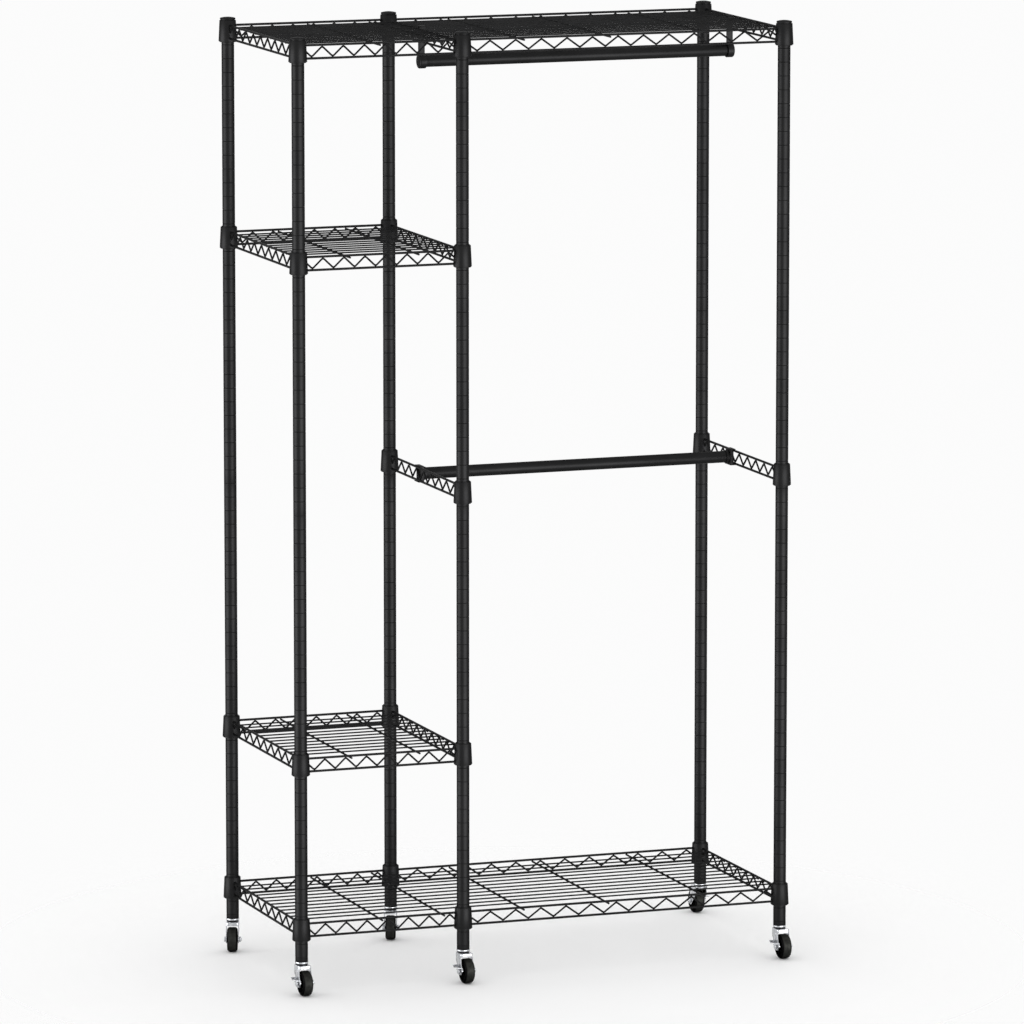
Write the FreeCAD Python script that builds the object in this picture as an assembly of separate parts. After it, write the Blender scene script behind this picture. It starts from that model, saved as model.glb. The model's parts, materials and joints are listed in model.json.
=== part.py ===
import FreeCAD
import Part
from FreeCAD import Vector

import math
import os

# Open frame wardrobe: wire shelves, rails and hanging rods on six grooved posts with casters.
# Millimetres. +X is right, the front faces -Y, +Z is up. The origin is on the floor, midway
# between the posts.

# Posts
POST_SPAN_X = 1020.0
SIDE_BAY_X = 340.0
POST_SPAN_Y = 442.0
POST_DIAMETER = 25.4
POST_WALL = 1.2
SEAM_CHAMFER = 0.6
CONNECTOR_LENGTH = 60.0

# Grooves along the posts, where every shelf and rail clips on
GROOVE_PITCH = 27.7
FIRST_GROOVE = 9.2
BOTTOM_SHELF_GROOVE_COUNT = 2
LOWER_SIDE_SHELF_GROOVE_COUNT = 14
SEAM_GROOVE_COUNT = 32
RAIL_GROOVE_COUNT = 33
UPPER_SIDE_SHELF_GROOVE_COUNT = 50
TOP_SHELF_GROOVE_COUNT = 65

# Post caps
CAP_DIAMETER = 31.0
CAP_RIM = 3.0
CAP_DOME = 2.2
CAP_PLUG = 12.0

# Collars and the split sleeves that they wedge onto
COLLAR_HEIGHT = 42.0
COLLAR_TOP_DIAMETER = 33.0
COLLAR_FOOT_DIAMETER = 37.0
COLLAR_WALL = 1.8
SLEEVE_PROUD = 1.5
SLEEVE_GAP = 1.6

# Wires of the shelves and rails
TRUSS_HEIGHT = 26.0
TRUSS_FOOT = 5.8
EDGE_WIRE = 4.8
ZIGZAG_WIRE = 3.8
ZIGZAG_PITCH = 46.0
LONG_ZIGZAG_PITCH = 54.0
LONG_SPAN = 500.0
ZIGZAG_SIDES = 6
ZIGZAG_FOOT_SHARE = 0.25
DECK_WIRE = 3.2
DECK_WIRE_COUNT = 12
DECK_EDGE = 49.0
CROSS_WIRE = 4.0
CROSS_SLACK = 10.0
WIDE_CROSS_SHARES = (0.167, 0.294, 0.457, 0.648, 0.840)
SIDE_CROSS_SHARES = (0.294, 0.730)

# Hanging rods, the upper one's hangers and the lower one's holders
ROD_DIAMETER = 24.0
ROD_WALL = 1.0
ROD_CLEARANCE = 0.2
ROD_DECK_WIRE_COUNT = 8
HANGER_SHEET = 2.5
HANGER_WIDTH = 14.0
HANGER_DROP = 42.0
HANGER_LIP = 9.0
HANGER_CLEARANCE = 0.6
HOLDER_FLOOR = 3.0
HOLDER_BLOCK = 7.0
HOLDER_WIDTH = 28.0
HOLDER_LIP = 1.2
HOLDER_CUP = 11.0
HOLDER_CUP_WALL = 1.2

# Casters
WHEEL_DIAMETER = 50.0
WHEEL_WIDTH = 21.0
WHEEL_HEADROOM = 7.5
WHEEL_SHOULDER = 5.5
WHEEL_RIM = 6.5
WHEEL_RECESS = 2.5
HUB_DIAMETER = 15.0
HUB_PROUD = 0.6
CASTER_TRAIL = 21.0
FORK_SHEET = 2.0
FORK_SIDE_GAP = 0.3
FORK_FRONT = 23.0
FORK_CORNER = 5.0
FORK_BACK = 6.0
FORK_BACK_EDGE = 18.0
FORK_SKIRT = 5.0
FORK_EYE = 16.0
RACE_HEIGHT = 2.2
RACE_DIAMETER = 24.6
FLANGE_DIAMETER = 26.6
FLANGE_HEIGHT = 3.3
STEM_DIAMETER = 10.0
STEM_LENGTH = 24.0
RIVET_DIAMETER = 15.0
RIVET_HEIGHT = 2.5
INSERT_LENGTH = 30.0
AXLE_DIAMETER = 6.0
AXLE_HEX = 10.0
AXLE_HEAD_HEIGHT = 3.5
AXLE_NUT_HEIGHT = 4.0
AXLE_END = 1.5
BRAKE_SHEET = 1.6
BRAKE_GAP = 0.4
BRAKE_EYE = 15.0
BRAKE_REACH = 17.0
BRAKE_ARM = 8.0
BRAKE_EAR = 9.8
BRAKE_EAR_LENGTH = 8.0
BRAKE_ARM_RISE = 25.0
BRAKE_REST_TILT = 4.0
SWIVEL_HEADINGS = {
    "front_left": 0.0,
    "front_middle": 0.0,
    "front_right": 0.0,
    "back_left": -20.0,
    "back_middle": -20.0,
    "back_right": 180.0,
}
BRAKED_CASTERS = ("front_left", "front_middle", "front_right", "back_right")

# Fits, and one overrun for every cut
FIT_CLEARANCE = 0.1
RUNNING_CLEARANCE = 0.05
OVERRUN = 5.0

# Derived sizes and places
POST_RADIUS = POST_DIAMETER / 2
POST_BORE = POST_RADIUS - POST_WALL
PLUG_RADIUS = POST_BORE - FIT_CLEARANCE
CROWN_LOW = WHEEL_DIAMETER + WHEEL_HEADROOM
CROWN_HIGH = CROWN_LOW + FORK_SHEET
RACE_LOW = CROWN_HIGH + FIT_CLEARANCE
FLANGE_LOW = RACE_LOW + RACE_HEIGHT
POST_FOOT_Z = FLANGE_LOW + FLANGE_HEIGHT
TOP_GROOVE_Z = POST_FOOT_Z + FIRST_GROOVE + TOP_SHELF_GROOVE_COUNT * GROOVE_PITCH
POST_HEAD_Z = TOP_GROOVE_Z + COLLAR_HEIGHT / 2 + SLEEVE_PROUD
LEFT_X = -POST_SPAN_X / 2
MIDDLE_X = LEFT_X + SIDE_BAY_X
RIGHT_X = POST_SPAN_X / 2
FRONT_Y = -POST_SPAN_Y / 2
BACK_Y = POST_SPAN_Y / 2
WIDE_COLUMNS = (LEFT_X, MIDDLE_X, RIGHT_X)
SIDE_COLUMNS = (LEFT_X, MIDDLE_X)
POSTS = {
    "front_left": (LEFT_X, FRONT_Y),
    "front_middle": (MIDDLE_X, FRONT_Y),
    "front_right": (RIGHT_X, FRONT_Y),
    "back_left": (LEFT_X, BACK_Y),
    "back_middle": (MIDDLE_X, BACK_Y),
    "back_right": (RIGHT_X, BACK_Y),
}
COLLAR_TOP_RADIUS = COLLAR_TOP_DIAMETER / 2
COLLAR_FOOT_RADIUS = COLLAR_FOOT_DIAMETER / 2
COLLAR_MID_RADIUS = (COLLAR_TOP_RADIUS + COLLAR_FOOT_RADIUS) / 2
DECK_PITCH = (POST_SPAN_Y - 2 * DECK_EDGE) / (DECK_WIRE_COUNT - 1)
ROD_RADIUS = ROD_DIAMETER / 2
ROD_WIRE_Y = FRONT_Y + DECK_EDGE + (ROD_DECK_WIRE_COUNT - 1) * DECK_PITCH
ROD_Y = ROD_WIRE_Y + (DECK_WIRE + HANGER_SHEET) / 2
AXLE_Z = WHEEL_DIAMETER / 2
AXLE_RADIUS = AXLE_DIAMETER / 2
FORK_INSIDE = WHEEL_WIDTH / 2 + HUB_PROUD + FORK_SIDE_GAP
FORK_OUTSIDE = FORK_INSIDE + FORK_SHEET
BRAKE_INSIDE = FORK_OUTSIDE + BRAKE_GAP
BRAKE_OUTSIDE = BRAKE_INSIDE + BRAKE_SHEET
ORIGIN = Vector(0, 0, 0)
AXIS_X = Vector(1, 0, 0)
AXIS_Y = Vector(0, 1, 0)
AXIS_Z = Vector(0, 0, 1)
FULL_TURN = 360.0
QUARTER_TURN = FULL_TURN / 4


def groove_height(groove):
    """Height of a groove above the floor."""
    return POST_FOOT_Z + FIRST_GROOVE + groove * GROOVE_PITCH


def lower_wire_height(groove):
    """Height of the lower wire of a truss whose collars are centred on a groove."""
    return groove_height(groove) - COLLAR_HEIGHT / 2 + TRUSS_FOOT


def polygon_face(points):
    return Part.Face(Part.makePolygon(list(points) + [points[0]]))


def turned(outline, turn=FULL_TURN):
    """Solid of revolution about Z from (radius, height) points."""
    points = [Vector(radius, 0, height) for radius, height in outline]
    return polygon_face(points).revolve(ORIGIN, AXIS_Z, turn)


def tube(inner_radius, outer_radius, low, high):
    return turned([(inner_radius, low), (outer_radius, low), (outer_radius, high), (inner_radius, high)])


def placed(shape, x, y, z=0, heading=0):
    """Copy of a shape, turned about Z and then moved."""
    copy = shape.copy()
    copy.rotate(ORIGIN, AXIS_Z, heading)
    copy.translate(Vector(x, y, z))
    return copy


def laid_along_x(shape):
    """Copy of a shape made along +Z, laid along +X."""
    copy = shape.copy()
    copy.rotate(ORIGIN, AXIS_Y, QUARTER_TURN)
    return copy


def mirrored_in_x(shape):
    return shape.mirror(ORIGIN, AXIS_X)


# Posts and what fits in them

def lower_post():
    seam = groove_height(SEAM_GROOVE_COUNT)
    return turned([
        (POST_BORE, POST_FOOT_Z),
        (POST_RADIUS, POST_FOOT_Z),
        (POST_RADIUS, seam - SEAM_CHAMFER),
        (POST_RADIUS - SEAM_CHAMFER, seam),
        (POST_BORE, seam),
    ])


def upper_post():
    seam = groove_height(SEAM_GROOVE_COUNT)
    return turned([
        (POST_BORE, seam),
        (POST_RADIUS - SEAM_CHAMFER, seam),
        (POST_RADIUS, seam + SEAM_CHAMFER),
        (POST_RADIUS, POST_HEAD_Z),
        (POST_BORE, POST_HEAD_Z),
    ])


def post_connector():
    """Plug that joins the two lengths of a post."""
    seam = groove_height(SEAM_GROOVE_COUNT)
    return tube(0, PLUG_RADIUS, seam - CONNECTOR_LENGTH / 2, seam + CONNECTOR_LENGTH / 2)


def post_cap():
    """Moulded cap: a plug in the tube, a straight rim and a low dome."""
    radius = CAP_DIAMETER / 2
    rim = Vector(radius, 0, POST_HEAD_Z + CAP_RIM)
    top = Vector(0, 0, rim.z + CAP_DOME)
    dome_radius = (radius ** 2 + CAP_DOME ** 2) / (2 * CAP_DOME)
    lean = math.asin(radius / dome_radius) / 2
    halfway = top + Vector(dome_radius * math.sin(lean), 0, dome_radius * (math.cos(lean) - 1))
    corners = [
        top,
        Vector(0, 0, POST_HEAD_Z - CAP_PLUG),
        Vector(PLUG_RADIUS, 0, POST_HEAD_Z - CAP_PLUG),
        Vector(PLUG_RADIUS, 0, POST_HEAD_Z),
        Vector(radius, 0, POST_HEAD_Z),
        rim,
    ]
    edges = [Part.makeLine(first, second) for first, second in zip(corners, corners[1:])]
    edges.append(Part.Arc(rim, halfway, top).toShape())
    return Part.Face(Part.Wire(edges)).revolve(ORIGIN, AXIS_Z, FULL_TURN)


def post_insert():
    """Threaded plug in a post's foot that takes the caster's stem."""
    return tube(STEM_DIAMETER / 2 + FIT_CLEARANCE, PLUG_RADIUS, POST_FOOT_Z, POST_FOOT_Z + INSERT_LENGTH)


# Collars and sleeves

def collar_ends(groove):
    low = groove_height(groove) - COLLAR_HEIGHT / 2
    return low, low + COLLAR_HEIGHT


def collar(x, y, groove):
    low, high = collar_ends(groove)
    ring = turned([
        (COLLAR_FOOT_RADIUS - COLLAR_WALL, low),
        (COLLAR_FOOT_RADIUS, low),
        (COLLAR_TOP_RADIUS, high),
        (COLLAR_TOP_RADIUS - COLLAR_WALL, high),
    ])
    return placed(ring, x, y)


def collar_core(x, y, groove):
    """Filled collar, which trims the wires to its outer face."""
    low, high = collar_ends(groove)
    core = turned([(0, low), (COLLAR_FOOT_RADIUS, low), (COLLAR_TOP_RADIUS, high), (0, high)])
    return placed(core, x, y)


def sleeves(posts, groove):
    """Two wedge-shaped halves between each collar and its post."""
    low, high = collar_ends(groove)
    slope = (COLLAR_FOOT_RADIUS - COLLAR_TOP_RADIUS) / COLLAR_HEIGHT
    inside = POST_RADIUS + FIT_CLEARANCE
    foot = COLLAR_FOOT_RADIUS - COLLAR_WALL - FIT_CLEARANCE + slope * SLEEVE_PROUD
    top = COLLAR_TOP_RADIUS - COLLAR_WALL - FIT_CLEARANCE - slope * SLEEVE_PROUD
    gap_turn = math.degrees(SLEEVE_GAP / POST_RADIUS)
    half = turned([
        (inside, low - SLEEVE_PROUD),
        (foot, low - SLEEVE_PROUD),
        (top, high + SLEEVE_PROUD),
        (inside, high + SLEEVE_PROUD),
    ], FULL_TURN / 2 - gap_turn)
    return [
        placed(half, x, y, heading=gap_turn / 2 + side * FULL_TURN / 2)
        for x, y in posts
        for side in (0, 1)
    ]


# Wires

def straight_wire(start, end, diameter):
    run = end - start
    return Part.makeCylinder(diameter / 2, run.Length, start, run)


def zigzag_period(span):
    clear = span - 2 * COLLAR_MID_RADIUS
    pitch = LONG_ZIGZAG_PITCH if span > LONG_SPAN else ZIGZAG_PITCH
    return clear / max(1, round(clear / pitch))


def zigzag_feet(span):
    """Distances from a truss's first post at which the zigzag stands on the lower wire."""
    period = zigzag_period(span)
    count = round((span - 2 * COLLAR_MID_RADIUS) / period)
    return [COLLAR_MID_RADIUS + (index + ZIGZAG_FOOT_SHARE) * period for index in range(count)]


def zigzag_section(centre, side, stretch):
    """Upright section of the zigzag, flat on top and below, where it bears on the edge wires."""
    radius = ZIGZAG_WIRE / 2 / math.cos(math.pi / ZIGZAG_SIDES)
    points = []
    for corner in range(ZIGZAG_SIDES + 1):
        angle = 2 * math.pi * corner / ZIGZAG_SIDES
        sideways = side * (radius * math.cos(angle))
        upwards = AXIS_Z * (radius * stretch * math.sin(angle))
        points.append(centre + sideways + upwards)
    return Part.makePolygon(points)


def zigzag_wire(start, direction, span, lower_z, upper_z):
    """One bent wire, whose bends touch the lower and upper wires of a truss in turn."""
    run = zigzag_period(span) / 2
    clear = upper_z - lower_z - EDGE_WIRE
    slim = 1 - (ZIGZAG_WIRE / run) ** 2
    rise = (clear - math.sqrt(clear ** 2 - slim * (clear ** 2 - ZIGZAG_WIRE ** 2))) / slim
    stretch = math.hypot(1, rise / run)
    middle = (lower_z + upper_z) / 2
    into_collar = COLLAR_WALL * rise / run
    stations = [(COLLAR_MID_RADIUS - COLLAR_WALL, middle + into_collar)]
    for foot in zigzag_feet(span):
        stations.append((foot, middle - rise / 2))
        stations.append((foot + run, middle + rise / 2))
    stations.append((span - COLLAR_MID_RADIUS + COLLAR_WALL, middle - into_collar))
    side = AXIS_Z.cross(direction)
    outlines = [
        zigzag_section(start + direction * reach + AXIS_Z * height, side, stretch)
        for reach, height in stations
    ]
    return Part.makeLoft(outlines, True, True)


def truss(first_post, second_post, groove, lower_z, upper_z):
    """Lower wire, upper wire and zigzag from one collar to the next."""
    start = Vector(*first_post, 0)
    end = Vector(*second_post, 0)
    run = end - start
    direction = run.normalize()
    span = start.distanceToPoint(end)
    wires = [zigzag_wire(start, direction, span, lower_z, upper_z)]
    for height in (lower_z, upper_z):
        wires.append(straight_wire(start + AXIS_Z * height, end + AXIS_Z * height, EDGE_WIRE))
    cores = [collar_core(*first_post, groove), collar_core(*second_post, groove)]
    return [wire.cut(cores).Solids[0] for wire in wires]


# Shelves and rails

def cross_places(columns, shares):
    """Cross wires, each at its share of the shelf's width or as near as the zigzag leaves room."""
    feet = []
    for left, right in zip(columns, columns[1:]):
        feet += [left + foot for foot in zigzag_feet(right - left)]
    width = columns[-1] - columns[0]
    places = []
    for share in shares:
        target = columns[0] + share * width
        foot = min(feet, key=lambda place: abs(place - target))
        places.append(min(max(target, foot - CROSS_SLACK), foot + CROSS_SLACK))
    return places


def shelf(columns, groove, cross_shares, middle_truss=False):
    """Welded wire shelf: collars, edge trusses, deck wires and the cross wires beneath them."""
    lower_z = lower_wire_height(groove)
    upper_z = lower_z + TRUSS_HEIGHT
    deck_floor = upper_z - EDGE_WIRE / 2
    pieces = [collar(x, y, groove) for x in columns for y in (FRONT_Y, BACK_Y)]
    for y in (FRONT_Y, BACK_Y):
        for left, right in zip(columns, columns[1:]):
            pieces += truss((left, y), (right, y), groove, lower_z, upper_z)
    for x in (columns[0], columns[-1]):
        pieces += truss((x, FRONT_Y), (x, BACK_Y), groove, lower_z, upper_z)
    if middle_truss:
        under_deck = deck_floor - EDGE_WIRE / 2
        pieces += truss((MIDDLE_X, FRONT_Y), (MIDDLE_X, BACK_Y), groove, lower_z, under_deck)
    deck_z = deck_floor + DECK_WIRE / 2
    deck_left = columns[0] + EDGE_WIRE / 2
    deck_right = columns[-1] - EDGE_WIRE / 2
    for index in range(DECK_WIRE_COUNT):
        y = FRONT_Y + DECK_EDGE + index * DECK_PITCH
        pieces.append(straight_wire(Vector(deck_left, y, deck_z), Vector(deck_right, y, deck_z), DECK_WIRE))
    cross_z = deck_floor - CROSS_WIRE / 2
    front = FRONT_Y - EDGE_WIRE / 2
    back = BACK_Y + EDGE_WIRE / 2
    for x in cross_places(columns, cross_shares):
        pieces.append(straight_wire(Vector(x, front, cross_z), Vector(x, back, cross_z), CROSS_WIRE))
    return pieces


def rail(x):
    """Short truss with a collar at each end, from a front post to the one behind it."""
    lower_z = lower_wire_height(RAIL_GROOVE_COUNT)
    ends = [(x, FRONT_Y), (x, BACK_Y)]
    collars = [collar(*end, RAIL_GROOVE_COUNT) for end in ends]
    return collars + truss(*ends, RAIL_GROOVE_COUNT, lower_z, lower_z + TRUSS_HEIGHT)


# Hanging rods, their hangers and their holders

UPPER_ROD_Z = lower_wire_height(TOP_SHELF_GROOVE_COUNT) - HANGER_DROP
LOWER_ROD_Z = lower_wire_height(RAIL_GROOVE_COUNT) + TRUSS_HEIGHT / 2
HANGER_INSET = EDGE_WIRE / 2 + HANGER_CLEARANCE
HOLDER_INSET = EDGE_WIRE / 2 + HOLDER_FLOOR


def hanging_rod(end_inset, z):
    """Tube across the hanging bay, short of each end plane by an inset and a clearance."""
    left = MIDDLE_X + end_inset + ROD_CLEARANCE
    right = RIGHT_X - end_inset - ROD_CLEARANCE
    rod = laid_along_x(tube(ROD_RADIUS - ROD_WALL, ROD_RADIUS, 0, right - left))
    return placed(rod, left, ROD_Y, z)


def rod_cup(depth, wall, floor):
    """Round cup along +X, with its closed end at the origin."""
    outside = ROD_RADIUS + ROD_CLEARANCE + wall
    bore = ROD_RADIUS + ROD_CLEARANCE
    return laid_along_x(turned([
        (0, 0),
        (outside, 0),
        (outside, depth),
        (bore, depth),
        (bore, floor),
        (0, floor),
    ]))


def rod_hanger():
    """Cup for an end of the upper rod, on a strap that hooks over one deck wire.

    Made at the left end of the rod, with its closed end at x = 0.
    """
    upper_z = lower_wire_height(TOP_SHELF_GROOVE_COUNT) + TRUSS_HEIGHT
    wire_top = upper_z - EDGE_WIRE / 2 + DECK_WIRE
    hook_top = wire_top + HANGER_SHEET
    near = ROD_WIRE_Y - DECK_WIRE / 2
    far = ROD_WIRE_Y + DECK_WIRE / 2
    strap_foot = UPPER_ROD_Z + ROD_RADIUS + ROD_CLEARANCE
    hook = polygon_face([
        Vector(0, far, strap_foot),
        Vector(0, far, wire_top),
        Vector(0, near, wire_top),
        Vector(0, near, hook_top - HANGER_LIP),
        Vector(0, near - HANGER_SHEET, hook_top - HANGER_LIP),
        Vector(0, near - HANGER_SHEET, hook_top),
        Vector(0, far + HANGER_SHEET, hook_top),
        Vector(0, far + HANGER_SHEET, strap_foot),
    ]).extrude(AXIS_X * HANGER_WIDTH)
    cup = placed(rod_cup(HANGER_WIDTH, HANGER_SHEET, HANGER_SHEET), 0, ROD_Y, UPPER_ROD_Z)
    bore = ROD_RADIUS + ROD_CLEARANCE
    hollow = laid_along_x(tube(0, bore, HANGER_SHEET, HANGER_WIDTH + OVERRUN))
    return hook.fuse(cup).cut(placed(hollow, 0, ROD_Y, UPPER_ROD_Z)).removeSplitter()


def rod_holder():
    """Block with lips over and under a rail's wires, and a round cup for an end of the lower rod.

    Made for the left end of the rod, with the rail's plane at x = 0.
    """
    half_wire = EDGE_WIRE / 2
    low = LOWER_ROD_Z - TRUSS_HEIGHT / 2 - half_wire
    high = LOWER_ROD_Z + TRUSS_HEIGHT / 2 + half_wire
    near = ROD_Y - HOLDER_WIDTH / 2
    inner = half_wire + HOLDER_BLOCK
    block = polygon_face([
        Vector(-half_wire, near, low - HOLDER_LIP),
        Vector(inner, near, low - HOLDER_LIP),
        Vector(inner, near, high + HOLDER_LIP),
        Vector(-half_wire, near, high + HOLDER_LIP),
        Vector(-half_wire, near, high),
        Vector(half_wire, near, high),
        Vector(half_wire, near, low),
        Vector(-half_wire, near, low),
    ]).extrude(AXIS_Y * HOLDER_WIDTH)
    bore = ROD_RADIUS + ROD_CLEARANCE
    cup_end = HOLDER_INSET + HOLDER_CUP
    cup = laid_along_x(tube(bore, bore + HOLDER_CUP_WALL, HOLDER_INSET, cup_end))
    hollow = laid_along_x(tube(0, bore, HOLDER_INSET, cup_end + OVERRUN))
    holder = block.fuse(placed(cup, 0, ROD_Y, LOWER_ROD_Z))
    return holder.cut(placed(hollow, 0, ROD_Y, LOWER_ROD_Z)).removeSplitter()


# Casters, made about a swivel axis at x = y = 0, with the wheel trailing towards -Y

def caster_stem():
    """Threaded stem, flange, kingpin and the riveted head that keeps the fork on."""
    stem = STEM_DIAMETER / 2
    rivet_top = CROWN_LOW - FIT_CLEARANCE
    rivet_low = rivet_top - RIVET_HEIGHT
    return turned([
        (0, rivet_low),
        (RIVET_DIAMETER / 2, rivet_low),
        (RIVET_DIAMETER / 2, rivet_top),
        (stem, rivet_top),
        (stem, FLANGE_LOW),
        (FLANGE_DIAMETER / 2, FLANGE_LOW),
        (FLANGE_DIAMETER / 2, POST_FOOT_Z),
        (stem, POST_FOOT_Z),
        (stem, POST_FOOT_Z + STEM_LENGTH),
        (0, POST_FOOT_Z + STEM_LENGTH),
    ])


def caster_race():
    return tube(STEM_DIAMETER / 2 + FIT_CLEARANCE, RACE_DIAMETER / 2, RACE_LOW, FLANGE_LOW)


def tangent_angle(corner, centre, radius, side):
    """Angle on a circle, in the YZ plane, where a line from a corner touches it."""
    reach = corner - centre
    bearing = math.atan2(reach.z, reach.y)
    return bearing + side * math.acos(radius / reach.Length)


def fork_leg():
    """Wide side plate from the crown down to the eye round the axle."""
    radius = FORK_EYE / 2
    eye = Vector(FORK_INSIDE, -CASTER_TRAIL, AXLE_Z)
    front = Vector(FORK_INSIDE, FORK_CORNER - FORK_FRONT, CROWN_HIGH)
    back = Vector(FORK_INSIDE, FORK_BACK, CROWN_HIGH)
    back_foot = back - AXIS_Z * FORK_BACK_EDGE
    front_angle = tangent_angle(front, eye, radius, 1)
    back_angle = tangent_angle(back_foot, eye, radius, -1) + 2 * math.pi
    rim = []
    for angle in (front_angle, (front_angle + back_angle) / 2, back_angle):
        rim.append(eye + Vector(0, radius * math.cos(angle), radius * math.sin(angle)))
    outline = Part.Wire([
        Part.makeLine(front, rim[0]),
        Part.Arc(*rim).toShape(),
        Part.makeLine(rim[-1], back_foot),
        Part.makeLine(back_foot, back),
        Part.makeLine(back, front),
    ])
    return Part.Face(outline).extrude(AXIS_X * FORK_SHEET)


def hood_block(half_width, front, back, corner, low, high):
    """Upright block with two round corners at the front."""
    block = Part.makeBox(2 * half_width, front + back, high - low, Vector(-half_width, -front, low))
    corners = [
        edge for edge in block.Edges
        if all(abs(vertex.Y + front) < FIT_CLEARANCE for vertex in edge.Vertexes)
        and edge.Vertexes[0].Z != edge.Vertexes[-1].Z
    ]
    return block.makeFillet(corner, corners)


def caster_fork():
    """Pressed fork: a hooded crown with a skirt round its front and sides, and two legs."""
    skirt_low = CROWN_LOW - FORK_SKIRT
    hood = hood_block(FORK_OUTSIDE, FORK_FRONT, FORK_BACK, FORK_CORNER, skirt_low, CROWN_HIGH)
    inside = hood_block(FORK_INSIDE, FORK_FRONT - FORK_SHEET, FORK_BACK + OVERRUN, FORK_CORNER - FORK_SHEET,
                        skirt_low - OVERRUN, CROWN_LOW)
    crown = tube(0, FORK_OUTSIDE, CROWN_LOW, CROWN_HIGH)
    leg = fork_leg()
    bore = tube(0, STEM_DIAMETER / 2 + RUNNING_CLEARANCE, CROWN_LOW - OVERRUN, CROWN_HIGH + OVERRUN)
    hole_end = FORK_OUTSIDE + OVERRUN
    hole = laid_along_x(tube(0, AXLE_RADIUS + FIT_CLEARANCE, -hole_end, hole_end))
    fork = hood.cut(inside).fuse([crown, leg, mirrored_in_x(leg)])
    return fork.cut([bore, placed(hole, 0, -CASTER_TRAIL, AXLE_Z)]).removeSplitter()


def caster_wheel():
    """Solid wheel with round shoulders, dished sides and a hub that stands proud."""
    radius = WHEEL_DIAMETER / 2
    half = WHEEL_WIDTH / 2
    bore = AXLE_RADIUS + RUNNING_CLEARANCE
    web = half - WHEEL_RECESS
    slant = WHEEL_SHOULDER * (1 - math.cos(math.radians(QUARTER_TURN / 2)))
    side = [
        Vector(bore, 0, half + HUB_PROUD),
        Vector(HUB_DIAMETER / 2, 0, half + HUB_PROUD),
        Vector(HUB_DIAMETER / 2, 0, web),
        Vector(radius - WHEEL_RIM, 0, web),
        Vector(radius - WHEEL_RIM, 0, half),
        Vector(radius - WHEEL_SHOULDER, 0, half),
    ]
    crest = Vector(radius - slant, 0, half - slant)
    tread = Vector(radius, 0, half - WHEEL_SHOULDER)
    edges = [Part.makeLine(first, second) for first, second in zip(side, side[1:])]
    edges.append(Part.Arc(side[-1], crest, tread).toShape())
    edges.append(Part.makeLine(tread, Vector(radius, 0, 0)))
    edges.append(Part.makeLine(Vector(radius, 0, 0), Vector(bore, 0, 0)))
    edges.append(Part.makeLine(Vector(bore, 0, 0), side[0]))
    one_side = Part.Face(Part.Wire(edges)).revolve(ORIGIN, AXIS_Z, FULL_TURN)
    wheel = one_side.fuse(one_side.mirror(ORIGIN, AXIS_Z)).removeSplitter()
    return placed(laid_along_x(wheel), 0, -CASTER_TRAIL, AXLE_Z)


def hexagon(across, low, high, bore):
    """Six-sided head or nut along Z."""
    sides = 6
    corner_radius = across / 2 / math.cos(math.pi / sides)
    corners = []
    for corner in range(sides):
        angle = 2 * math.pi * corner / sides
        corners.append(Vector(corner_radius * math.cos(angle), corner_radius * math.sin(angle), low))
    prism = polygon_face(corners).extrude(AXIS_Z * (high - low))
    if not bore:
        return prism
    return prism.cut(tube(0, bore, low - OVERRUN, high + OVERRUN))


def caster_axle(braked):
    """Bolt through the fork, the wheel and any brake lever, and its nut."""
    head_foot = -FORK_OUTSIDE
    if braked:
        head_foot = -BRAKE_OUTSIDE - FIT_CLEARANCE
    nut_end = FORK_OUTSIDE + AXLE_NUT_HEIGHT
    shaft = tube(0, AXLE_RADIUS, head_foot - AXLE_HEAD_HEIGHT / 2, nut_end + AXLE_END)
    bolt = hexagon(AXLE_HEX, head_foot - AXLE_HEAD_HEIGHT, head_foot, 0).fuse(shaft).removeSplitter()
    nut = hexagon(AXLE_HEX, FORK_OUTSIDE, nut_end, AXLE_RADIUS + FIT_CLEARANCE)
    return [placed(laid_along_x(piece), 0, -CASTER_TRAIL, AXLE_Z) for piece in (bolt, nut)]


def brake_lever():
    """Rocker plate on the axle bolt, with two rising arms and a pedal bent outwards on each."""
    half_arm = BRAKE_ARM / 2
    bore = AXLE_RADIUS + RUNNING_CLEARANCE
    eye = laid_along_x(tube(0, BRAKE_EYE / 2, -BRAKE_OUTSIDE, -BRAKE_INSIDE))
    arm = Part.makeBox(BRAKE_SHEET, BRAKE_REACH, BRAKE_ARM, Vector(-BRAKE_OUTSIDE, 0, -half_arm))
    pedal = Vector(-BRAKE_OUTSIDE - BRAKE_EAR, BRAKE_REACH - BRAKE_EAR_LENGTH, half_arm - BRAKE_SHEET)
    ear = Part.makeBox(BRAKE_EAR + BRAKE_SHEET, BRAKE_EAR_LENGTH, BRAKE_SHEET, pedal)
    back_arm = arm.fuse(ear)
    back_arm.rotate(ORIGIN, AXIS_X, BRAKE_ARM_RISE)
    front_arm = back_arm.mirror(ORIGIN, AXIS_Y)
    hole = laid_along_x(tube(0, bore, -BRAKE_OUTSIDE - OVERRUN, OVERRUN - BRAKE_INSIDE))
    lever = eye.fuse([back_arm, front_arm]).cut(hole).removeSplitter()
    lever.rotate(ORIGIN, AXIS_X, BRAKE_REST_TILT)
    return placed(lever, 0, -CASTER_TRAIL, AXLE_Z)


def at_every_post(shape):
    return [placed(shape, x, y) for x, y in POSTS.values()]


def posts_in(columns):
    return [(x, y) for x in columns for y in (FRONT_Y, BACK_Y)]


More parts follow.
